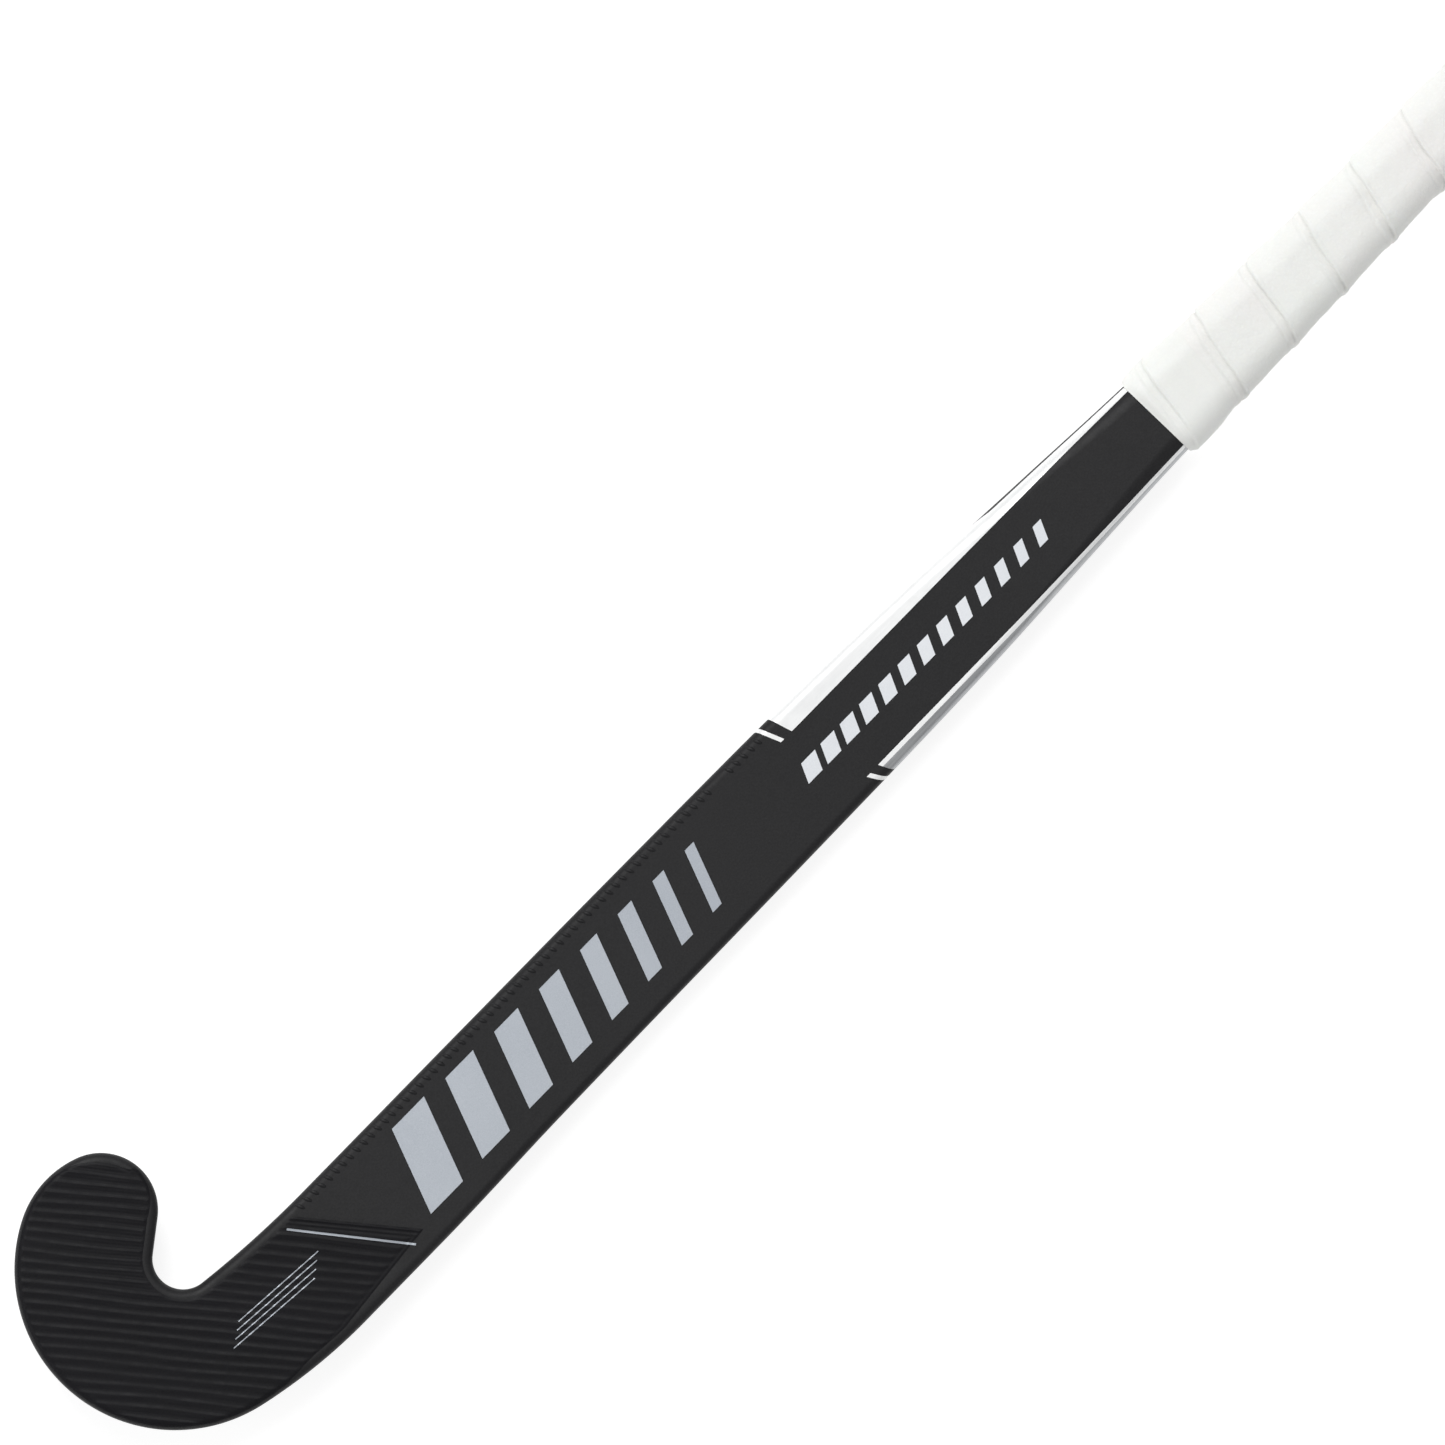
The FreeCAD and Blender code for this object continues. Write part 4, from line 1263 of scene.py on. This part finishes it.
@dataclass(frozen=True)
class Prints:
    """Plain slanted bars, fine lines and bright side flashes printed on the stick, with the heel foil's side in
    painted shade.
    """

    form: StickForm
    skin: FaceSkin
    film: float = 0.035
    sunk: float = 0.08
    over_ribs: float = 0.11
    low_row: Pair = (136.0, 289.0)
    low_widths: tuple[float, ...] = (16.5, 14.2, 12.1, 10.2, 8.5, 7.0, 5.7, 4.5)
    low_feet: Pair = (-14.8, 3.3)
    low_heads: Pair = (16.6, -5.5)
    low_lean: float = 12.0
    low_counts: tuple[int, int] = (6, 4)
    high_row: Pair = (341.5, 469.5)
    high_count: int = 13
    high_span: Pair = (-3.9, 3.2)
    high_lean: float = 3.3
    high_fill: Pair = (0.72, -0.025)
    high_counts: tuple[int, int] = (4, 3)
    fine_count: int = 4
    fine_starts: tuple[float, ...] = (60.1, -2.7, 7.7, -1.83)
    fine_ends: tuple[float, ...] = (98.1, -2.6, 4.9, -1.97)
    fine_width: float = 0.38
    ruled: tuple[Pair, ...] = ((95.8, 18.5), (124.4, -18.6))
    ruled_width: float = 0.8
    line_step: float = 0.35
    line_points: int = 3
    flash_step: float = 2.5
    flash_points: int = 26
    flash_rounds: int = 3
    tick_counts: tuple[int, int] = (3, 20)

    def build(self) -> None:
        """Make every print."""
        self.low_bars()
        self.high_bars()
        self.lines()
        self.flashes()

    def patch(self, builder: Builder, corners: Array, counts: tuple[int, int],
              height: Callable[[Array, Array], Array]) -> None:
        """Add one four-cornered film that follows the surface under it.

        Its points are the even mix of its corners: those at shares u and v are
        (1-u)(1-v) c0 + u (1-v) c1 + u v c2 + (1-u) v c3.

        Args:
            builder: the piece it belongs to.
            corners: its corners in order, as along and across.
            counts: points along the first way and along the second.
            height: the surface's height at a point.
        """
        u = np.linspace(0.0, 1.0, counts[0])[:, None, None]
        v = np.linspace(0.0, 1.0, counts[1])[None, :, None]
        flat = (1 - u) * ((1 - v) * corners[0] + v * corners[3]) + u * ((1 - v) * corners[1] + v * corners[2])
        up = height(flat[..., 0], flat[..., 1])
        builder.slab(self.form.place(flat, up + self.film), self.form.place(flat, up - self.sunk))

    def bar(self, builder: Builder, foot: Pair, lean: float, span: Pair, counts: tuple[int, int]) -> None:
        """Add one slanted bar on the face, with its foot's start and width, between two places across.

        Args:
            builder: the piece.
            foot: where its foot starts along the stick, and its width.
            lean: how much further along its head lies.
            span: where it starts and ends across.
            counts: points along its width and its height.
        """
        (left, width), (low, high) = foot, span
        corners = np.array([[left, low], [left + width, low], [left + lean + width, high], [left + lean, high]])
        self.patch(builder, corners, counts, self.form.shaft.face_up)

    def low_bars(self) -> None:
        """The row of wide slanted silver bars on the low shaft, narrower and lower towards the handle."""
        builder = Builder()
        start, end = self.low_row
        space = (end - start - sum(self.low_widths)) / (len(self.low_widths) - 1)
        slope = self.low_lean / (self.low_heads[0] - self.low_feet[0])
        left = start
        for width in self.low_widths:
            share = (left - start) / (end - start)
            low, high = (first + change * share for first, change in (self.low_feet, self.low_heads))
            self.bar(builder, (left, width), slope * (high - low), (low, high), self.low_counts)
            left += width + space
        builder.finish("low_slanted_bars", "silver_print", SILVER)

    def high_bars(self) -> None:
        """The row of small slanted bars on the high shaft."""
        builder = Builder()
        start, end = self.high_row
        pitch = (end - start) / self.high_count
        for index in range(self.high_count):
            width = pitch * (self.high_fill[0] + self.high_fill[1] * index)
            foot = (start + index * pitch, width)
            self.bar(builder, foot, self.high_lean, self.high_span, self.high_counts)
        builder.finish("high_slanted_bars", "silver_print", PALE_SILVER)

    def on_skin(self, along: Array, across: Array) -> Array:
        """Height of the ribbed skin at a point."""
        return self.skin.relief(np.stack([along, across], axis=-1)) + self.over_ribs

    def lines(self) -> None:
        """The four fine silver lines on the head, and the plain thin line beside the skin's slanted border."""
        fine, ruled = Builder(), Builder()
        for index in range(self.fine_count):
            start, end = (np.array([along + step * index, across + rise * index])
                          for along, step, across, rise in (self.fine_starts, self.fine_ends))
            self.line(fine, start, end, self.fine_width)
        self.line(ruled, *np.array(self.ruled), self.ruled_width)
        fine.finish("fine_head_lines", "silver_print", SILVER)
        ruled.finish("ruled_head_line", "silver_print", SILVER)

    def line(self, builder: Builder, start: Array, end: Array, width: float) -> None:
        """Add a straight line of that width on the skin.

        Args:
            builder: the piece.
            start: its start.
            end: its end.
            width: its width.
        """
        run = end - start
        length = float(np.hypot(*run))
        aside = np.array([-run[1], run[0]]) / length * width / 2
        corners = np.array([start - aside, end - aside, end + aside, start + aside])
        self.patch(builder, corners, (int(length / self.line_step), self.line_points), self.on_skin)

    def wrapped(self, builder: Builder, side: Side, along: Array, across: Array) -> None:
        """Add a film at places on the flat sheet, wrapped over that side.

        Args:
            builder: the piece.
            side: the side.
            along: places along the stick.
            across: places across the flat sheet.
        """
        signed = side.value * np.broadcast_to(across, along.shape)
        over, under = (self.form.bow.place(*self.form.shaft.wrap(along, signed, side, off))
                       for off in (self.film, -self.sunk))
        builder.slab(over, under)

    def flash(self, builder: Builder, flash: Flash) -> None:
        """Add a flash. Its slanted start moves its own rows, so they are worked out a few times over.

        Args:
            builder: the piece.
            flash: the flash's sizes.
        """
        rows = max(3, int((flash.end - flash.start) / self.flash_step))
        share = np.linspace(0.0, 1.0, rows)[:, None]
        out = np.linspace(0.0, 1.0, self.flash_points)[None, :]
        begin = flash.start
        for _ in range(self.flash_rounds):
            along = begin + (flash.end - begin) * share
            near, far = (np.interp(along, *np.array(edge).T) for edge in (flash.inner, flash.outer))
            across = near + (far - near) * out
            begin = flash.start + flash.slant * (across - near)
        self.wrapped(builder, flash.side, along, across)

    def tick(self, builder: Builder, tick: Tick) -> None:
        """Add a tick.

        Args:
            builder: the piece.
            tick: the tick's sizes.
        """
        through, out = (np.linspace(0.0, 1.0, count) for count in self.tick_counts)
        across = tick.inner + (tick.reach - tick.inner) * out[None, :]
        left, right = (place + tick.slant * (across - tick.inner) for place in (tick.start, tick.end))
        self.wrapped(builder, tick.side, left + (right - left) * through[:, None], across)

    def flashes(self) -> None:
        """The bright side flashes up to the grip with their ticks, and the heel foil down the heel side in a darker
        copy of the bright foil, as painted shade.
        """
        bright, shaded_foil = Builder(), Builder()
        self.flash(bright, TOE_FLASH)
        self.flash(bright, HEEL_FLASH)
        for tick in TICKS:
            self.tick(bright, tick)
        # Painted shade: the heel foil's outer part, over the rounding and down the side, takes the darker copy of the
        # foil.
        self.flash(shaded_foil, HEEL_FOIL)
        bright.finish("side_flashes", "silver_print", BRIGHT)
        shaded_foil.finish("heel_side_foil", "silver_print", PAINTED_SHADE_FOIL)


# ---- handle


@dataclass(frozen=True)
class Sleeve:
    """Loops of points round the handle, at any distance off the bare laminate."""

    form: StickForm
    corner_points: int = 11
    side_points: int = 10
    middle: float = 650.0

    def pattern(self) -> tuple[Array, Array]:
        """How each point of a loop follows from the section's four corner circles.

        Returns:
            Each point's shares of the four corners, and its direction outwards as across and up.
        """
        shares, outwards = [], []
        for corner in range(4):
            angles = QUARTER * corner + np.linspace(0.0, QUARTER, self.corner_points)
            here = np.zeros((self.corner_points, 4))
            here[:, corner] = 1.0
            shares.append(here)
            outwards.append(np.stack([np.cos(angles), np.sin(angles)], axis=-1))
            along = np.linspace(0.0, 1.0, self.side_points + 2)[1:-1]
            side = np.zeros((self.side_points, 4))
            side[:, corner] = 1 - along
            side[:, (corner + 1) % 4] = along
            shares.append(side)
            turn = QUARTER * (corner + 1)
            outwards.append(np.broadcast_to([math.cos(turn), math.sin(turn)], (self.side_points, 2)))
        return np.concatenate(shares), np.concatenate(outwards)

    def around(self) -> Array:
        """Each point's share of the way round a middle section, from the toe side over the face.

        Returns:
            Shares from 0 to just under 1.
        """
        flat = self.flat(np.array([self.middle]), np.zeros((1, 1)))[0]
        step = np.hypot(*(np.roll(flat, -1, axis=0) - flat).T)
        return np.concatenate([[0.0], np.cumsum(step)[:-1]]) / step.sum()

    def flat(self, along: Array, off: Array) -> Array:
        """Across and up of every loop's points.

        A point is the mix of the corner circles' centres plus the mix of their radii, and the distance
        off the laminate, in its direction outwards.

        Args:
            along: places along the stick.
            off: distance off the bare laminate.

        Returns:
            Across and up: loop, point, coordinate.
        """
        shares, outwards = self.pattern()
        shaft = self.form.shaft
        toe, heel = shaft.edge(along, Side.TOE), shaft.edge(along, Side.HEEL)
        thick, face, back = (shaft.read(name, along) for name in ("thick", "face_round", "back_round"))
        radius = np.stack([face, face, back, back], axis=-1)
        across = np.stack([toe - face, heel + face, heel + back, toe - back], axis=-1)
        up = np.stack([-face, -face, back - thick, back - thick], axis=-1)
        reach = radius @ shares.T + off
        return np.stack([across @ shares.T + reach * outwards[:, 0], up @ shares.T + reach * outwards[:, 1]], axis=-1)

    def loops(self, along: Array, off: Array, lean: Array | float = 0.0) -> Array:
        """Loops in the row's frame at places along the handle.

        Args:
            along: places along the stick.
            off: distance off the bare laminate, for every loop or every point.
            lean: how much further along each point stands.

        Returns:
            Points in metres.
        """
        distance = np.broadcast_to(np.asarray(off, float), (len(along), len(self.pattern()[0])))
        section = self.flat(along, distance)
        return self.form.bow.place(along[:, None] + lean, section[..., 0], section[..., 1])

    def solid(self, builder: Builder, outer: Array, inner: Array, shade: Array | None = None) -> None:
        """Add a closed sleeve between outer and inner loops, with painted crease shade on the outer ones.

        Args:
            builder: the piece.
            outer: the outer loops.
            inner: the inner loops.
            shade: how deep in a crease each outer point lies, which sets its painted shade.
        """
        count = outer.shape[1]
        first = builder.tube(outer, shade=shade)
        second = builder.tube(inner, inside_out=True)
        last_outer, last_inner = (outer.shape[0] - 1) * count, (inner.shape[0] - 1) * count
        ring = np.arange(count)
        builder.join(second + ring, first + ring)
        builder.join(first + last_outer + ring, second + last_inner + ring)


@dataclass(frozen=True)
class Handle:
    """The wound grip with its underlay, the finishing tape round its lower end, and the end cap."""

    form: StickForm
    collar: float = 521.6
    butt: float = 916.5
    bond: float = 0.2
    underlay: float = 0.6
    grip: float = 0.9
    turn: float = 25.7
    sway: float = 1.0
    first_edge: float = 559.1
    edge_height: float = 0.62
    edge_climb: float = 0.55
    beads: Beads = ((0.3, 0.45, 0.5), (0.34, -3.1, 0.55), (-0.42, -1.0, 0.5), (-0.22, -4.2, 0.5))
    slow: Ripple = Ripple(0.1, 11, 14, 60.0, 9.0)
    creases: Ripple = Ripple(0.025, 23, 9, 9.0, 3.5)
    edge_turns: Ripple = Ripple(0.35, 3, 6, 1.0, 0.2)
    edge_waver: Ripple = Ripple(0.3, 7, 8, 80.0, 20.0)
    # Painted shade beside each tape edge: a dark line, a patchy second line, and patchy strength along the seam.
    shade_line: Beads = ((0.55, -0.75, 0.36),)
    second_line: Beads = ((0.34, -4.1, 0.36),)
    second_mean: float = 0.6
    second_patches: Ripple = Ripple(0.5, 37, 8, 50.0, 9.0)
    shade_mean: float = 0.7
    shade_least: float = 0.15
    shade_patches: Ripple = Ripple(0.35, 31, 10, 40.0, 6.0)
    low_end: Pair = (-8.0, 26.0)
    high_end: Pair = (0.0, 5.0)
    end_relief: float = 0.15
    grip_step: float = 0.4
    inner_rows: int = 60
    underlay_rows: int = 260
    underlay_start: float = 3.0
    groove: Beads = ((-0.25, 0.0, 0.9),)
    tape_length: float = 28.0
    tape_rows: int = 110
    tape_crowding: float = 1.15
    tape_slant: float = 3.0
    tape_start: float = 0.75
    tape_climb: Pair = (-1.2, 4.2)
    tape_gap: float = 0.1
    tape_thick: float = 0.25
    tape_thin: Pair = (0.0, 9.0)
    tape_edge: float = 0.3
    tape_last: float = 0.06
    tape_belly: Beads = ((0.5, 10.0, 7.0),)
    tape_lumps: Ripple = Ripple(0.07, 5, 12, 40.0, 8.0)
    lumps_ease: Pair = (0.0, 4.0)
    rim_lean: float = 0.25
    rim_ease: Pair = (0.0, 3.0)
    tape_shade: float = 0.55
    shade_ease: Pair = (4.0, 4.0)
    lap: float = 1.4

    @property
    def under(self) -> float:
        """How far the grip's inside stands off the bare laminate."""
        return self.bond + self.underlay + self.bond

    def build(self) -> None:
        """Make every piece of the handle."""
        sleeve = Sleeve(self.form)
        self.underlay_tape(sleeve)
        self.grip_tape(sleeve)
        self.finishing_tape(sleeve)
        self.end_cap(sleeve)

    def seam(self, around: Array) -> Array:
        """Where the tape's edge lies round the handle, as millimetres back from the toe side."""
        return self.sway * (1 - np.cos(FULL_TURN * around)) - self.turn * around

    def winding(self, along: Array, around: Array) -> Array:
        """Height of the wound tape about its mean.

        From each edge towards the butt the tape falls evenly until the next edge, where it climbs
        again within half a millimetre. Soft beads and grooves follow the edge, each one with a height,
        a place past the edge and a width, and slow ripples lie over all.

        Args:
            along: places along the stick.
            around: share of the way round.

        Returns:
            Heights in millimetres.
        """
        past, nearest = self.past_edge(along, around)
        share = past / self.turn
        climb = self.edge_climb / self.turn
        fall = 1 - share + ease(share, 1 - climb, climb)
        slow = self.slow.at(along, around)
        creases = self.creases.at(along + self.seam(around), around * 0.0)
        return self.edge_height * (fall - 0.5) + ridges(nearest, self.beads) + slow + creases

    def past_edge(self, along: Array, around: Array) -> tuple[Array, Array]:
        """How far past the last tape edge a place lies, and how far past the nearest one.

        Args:
            along: places along the stick.
            around: shares of the way round.

        Returns:
            Millimetres past the last edge, and past the nearest one, negative before it.
        """
        waver = self.edge_turns.at(around, around * 0.0) + self.edge_waver.at(along, around)
        past = (along - self.first_edge - self.seam(around) + waver) % self.turn
        return past, np.where(past > self.turn / 2, past - self.turn, past)

    def crease_shade(self, along: Array, around: Array) -> Array:
        """How deep in a crease beside a tape edge a place lies, 0 to 1, which sets the painted shade there.

        Args:
            along: places along the stick.
            around: shares of the way round.

        Returns:
            Shares of the darkest painted shade.
        """
        nearest = self.past_edge(along, around)[1]
        patchy = (self.second_mean + self.second_patches.at(along, around)).clip(0.0, 1.0)
        deep = ridges(nearest, self.shade_line) + ridges(nearest, self.second_line) * patchy
        return deep * (self.shade_mean + self.shade_patches.at(along, around)).clip(self.shade_least, 1.0)

    def grip_off(self, along: Array, around: Array) -> Array:
        """How far the grip's outside stands off the bare laminate, at places along and round it.

        Args:
            along: places along the stick.
            around: shares of the way round.

        Returns:
            Distances in millimetres.
        """
        ends = ease(along - self.collar, *self.low_end) * ease(self.butt - along, *self.high_end)
        share = self.end_relief + (1 - self.end_relief) * ends
        return self.under + self.grip + self.winding(along, around) * share

    def grip_tape(self, sleeve: Sleeve) -> None:
        """The white grip, wound in a helix with each turn lapping the one before.

        Args:
            sleeve: makes the loops round the handle.
        """
        start = self.collar + self.lap + self.bond
        along = np.linspace(start, self.butt, int((self.butt - start) / self.grip_step))
        inner = np.linspace(start, self.butt, self.inner_rows)
        around = sleeve.around()[None, :]
        off = self.grip_off(along[:, None], around)
        builder = Builder()
        # The outer loops carry painted shade in the creases beside the tape edges.
        sleeve.solid(builder, sleeve.loops(along, off), sleeve.loops(inner, self.under),
                     self.crease_shade(along[:, None], around))
        builder.finish("wound_grip", "grip_white", GRIP_WHITE, "grip_tape")

    def underlay_tape(self, sleeve: Sleeve) -> None:
        """The foam tape under the grip, wound edge to edge with a narrow groove at each joint.

        Args:
            sleeve: makes the loops round the handle.
        """
        start = self.collar + self.underlay_start
        along = np.linspace(start, self.butt, self.underlay_rows)
        inner = np.linspace(start, self.butt, self.inner_rows)
        past = (along[:, None] - self.seam(sleeve.around()[None, :])) % self.turn
        off = self.bond + self.underlay + ridges(np.minimum(past, self.turn - past), self.groove)
        builder = Builder()
        sleeve.solid(builder, sleeve.loops(along, off), sleeve.loops(inner, self.bond))
        builder.finish("underlay_foam_tape", "underlay_foam", UNDERLAY_FOAM, "grip_underlay")

    def finishing_tape(self, sleeve: Sleeve) -> None:
        """The smooth tape round the grip's lower end, drawn down on to the bare shaft.

        It lies on the wound grip and shows its edges through, in relief and as painted crease shade. At its lower end
        it is drawn in with a rounded rim, behind that it bulges a little, and its upper end thins out on the grip.

        Args:
            sleeve: makes the loops round the handle.
        """
        length = self.tape_length
        gone = np.linspace(0.0, 1.0, self.tape_rows) ** self.tape_crowding * length
        around = sleeve.around()[None, :]
        lower = np.cos(FULL_TURN * around)
        upper = length + self.tape_slant * (lower - 1)
        reach = gone[:, None] * upper / length
        under = self.grip_off(self.collar + reach, around)
        over = under + self.tape_gap + self.tape_thick * ease(upper - reach, *self.tape_thin)
        off = self.tape_start + (over - self.tape_start) * ease(reach, *self.tape_climb)
        off = off + ridges(reach, self.tape_belly)
        off = off + self.tape_lumps.at(self.collar + gone[:, None], around) * ease(reach, *self.lumps_ease)
        off = np.where(upper - reach < self.tape_edge, under + self.tape_last, off)
        lean = reach - gone[:, None] - self.rim_lean * lower * (1 - ease(reach, *self.rim_ease))
        inner = np.array([0.0, self.lap, self.lap + 0.01, length / 2, length])
        inside = np.where(inner > self.lap, self.under + self.tape_gap, self.bond)
        # Painted shade where the grip's tape edges show through: none in the tape's lowest 4 mm, full from 8 mm.
        shade = self.tape_shade * self.crease_shade(self.collar + reach, around) * ease(reach, *self.shade_ease)
        builder = Builder()
        sleeve.solid(builder, sleeve.loops(self.collar + gone, off, lean),
                     sleeve.loops(self.collar + inner, inside[:, None], inner[:, None] * (upper / length - 1)), shade)
        builder.finish("finishing_tape_collar", "tape_white", TAPE_WHITE, "finishing_tape")

    def end_cap(self, sleeve: Sleeve) -> None:
        """The moulded cap: a flange with a groove round it, a stepped end with a dimple, and its spigot.

        Each row of the cap is the butt's loop, moved out along the stick by one number and drawn in
        towards the middle by another.

        Args:
            sleeve: makes the loops round the handle.
        """
        rows = [(0.0, 0.0), (0.0, 1.7), (0.25, 1.95), (1.1, 1.98), (1.25, 1.7), (1.55, 1.7), (1.7, 1.98),
                (2.5, 1.95), (3.2, 1.75), (3.8, 1.3), (4.2, 0.7), (4.45, 0.0), (4.5, -0.8), (4.5, -2.6),
                (4.35, -2.9), (4.3, -3.1), (4.3, -4.6), (4.35, -4.8), (4.5, -5.1), (4.5, -7.5)]
        knob = [(4.5, 3.6), (4.4, 3.3), (3.9, 3.1), (3.7, 2.7), (3.6, 0.9)]
        spigot = [(0.0, 6.2), (-0.2, 6.0), (-9.0, 6.0), (-18.5, 5.9), (-19.6, 5.3), (-20.0, 4.4)]
        out, off = np.array(rows).T[:, :, None]
        builder = Builder()
        loops = sleeve.loops(np.full(len(rows), self.butt), off, out)
        count = loops.shape[1]
        ring = builder.tube(loops) + np.arange(count)
        self.turned(builder, ring + (len(rows) - 1) * count, knob)
        self.turned(builder, ring, spigot)
        builder.finish("handle_end_cap", "cap_plastic", CAP_WHITE, "end_cap")

    def turned(self, builder: Builder, ring: Array, rows: list[Pair]) -> None:
        """Go on from a ring of points with round rows about the handle's middle, and close the last one.

        Args:
            builder: the piece.
            ring: numbers of the ring's points.
            rows: how far out along the stick, and how wide, each round row is.
        """
        shaft, place = self.form.shaft, self.form.bow.place
        centre, thick = (float(shaft.read(name, self.butt)) for name in ("centre", "thick"))
        out, radius = np.array(rows).T[:, :, None]
        angle = np.linspace(0.0, FULL_TURN, len(ring), endpoint=False)
        across, up = centre + radius * np.cos(angle), radius * np.sin(angle) - thick / 2
        first = builder.tube(place(self.butt + out, across, up))
        around = np.arange(len(ring))
        builder.join(ring, first + around)
        builder.close(first + (len(rows) - 1) * len(ring) + around, place(self.butt + out[-1], centre, -thick / 2))


# ---- inside pieces


@dataclass(frozen=True)
class InnerParts:
    """The pieces inside the laminate, which keep their construction shape."""

    finishes: tuple[tuple[str, Finish], ...] = (
        ("head_core", CORE_FOAM), ("handle_plug", CORE_FOAM), ("damping_insert", RUBBER),
        ("toe_side_tube", RAW_LAMINATE), ("heel_side_tube", RAW_LAMINATE))

    def build(self) -> None:
        """Give every inner node its finish."""
        for name, finish in self.finishes:
            finish.dress_node(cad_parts[name])
            LOG.info("%s: %s", name, finish.name)


# ---- studio

PALE_FLOOR = Finish("pale_floor", (0.36, 0.36, 0.36), (0.38, 0.38, 0.38), drift=0.6, rough=(0.85, 0.95),
                    specular=0.1, glow=0.84)


@dataclass(frozen=True)
class Studio:
    """A plain pale floor, soft light and the camera that looks straight down at the face."""

    centre: Pair = (-0.1273, -0.0001)
    view_turn: float = math.radians(-45.65)
    seen: float = 0.5198
    distance: float = 4.0
    face_height: float = 0.03
    sensor: float = 36.0
    clip_end: float = 20.0
    reach: float = 6.0
    down: float = -0.0003
    aim: tuple[float, float, float] = (-0.1, 0.0, 0.0)
    sky: float = 0.28
    lamps: tuple[tuple[str, tuple[float, float, float], float, float], ...] = (
        ("key_light", (0.6, 1.7, 2.2), 1.0, 27.0), ("top_light", (0.3, 0.85, 2.5), 0.9, 24.0),
        ("fill_light", (0.6, -2.2, 2.0), 2.0, 6.0), ("head_light", (-2.2, 0.9, 1.9), 1.8, 18.0))

    def build(self) -> None:
        """Make the floor, the lights, the sky and the camera."""
        self.floor()
        self.lights()
        self.camera()

    def floor(self) -> None:
        """A wide floor with a faint soft mottling."""
        reach, down = self.reach, self.down
        mesh = bpy.data.meshes.new("studio_floor")
        corners = [(-reach, -reach, down), (reach, -reach, down), (reach, reach, down), (-reach, reach, down)]
        mesh.from_pydata(corners, [], [(0, 1, 2, 3)])
        floor = add_object("studio_floor", mesh)
        PALE_FLOOR.dress(floor)

    def lights(self) -> None:
        """Large soft lights, the strongest from the toe side, and a white sky."""
        for name, place, size, power in self.lamps:
            data = bpy.data.lights.new(name, "AREA")
            data.size = size
            data.energy = power
            light = add_object(name, data)
            light.location = place
            aim = np.array(self.aim) - np.array(place)
            light.rotation_euler = (math.atan2(math.hypot(aim[0], aim[1]), -aim[2]), 0.0,
                                    math.atan2(aim[1], aim[0]) - QUARTER)
        world = bpy.data.worlds.new("white_sky")
        bpy.context.scene.world = world
        world.use_nodes = True
        inputs = world.node_tree.nodes["Background"].inputs
        inputs["Color"].default_value = (1.0, 1.0, 1.0, 1.0)
        inputs["Strength"].default_value = self.sky
        bpy.context.scene.view_settings.view_transform = "Standard"

    def camera(self) -> None:
        """A long lens straight above, turned so that the stick runs up to the right."""
        data = bpy.data.cameras.new("camera")
        data.sensor_width = self.sensor
        data.lens = self.sensor * self.distance / self.seen
        data.clip_end = self.clip_end
        camera = add_object("camera", data)
        camera.location = (*self.centre, self.distance + self.face_height)
        camera.rotation_euler = (0.0, 0.0, self.view_turn)
        bpy.context.scene.camera = camera


def main() -> None:
    """Build the whole stick and its studio."""
    logging.basicConfig(level=logging.INFO, format="%(message)s")
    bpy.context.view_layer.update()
    make_effects()
    form = StickForm()
    skin = FaceSkin(form)
    for assembly in (Laminate(form, skin), skin, Prints(form, skin), Handle(form), InnerParts(), Studio()):
        assembly.build()
        LOG.info("%s done", type(assembly).__name__)


if __name__ == "__main__":
    main()
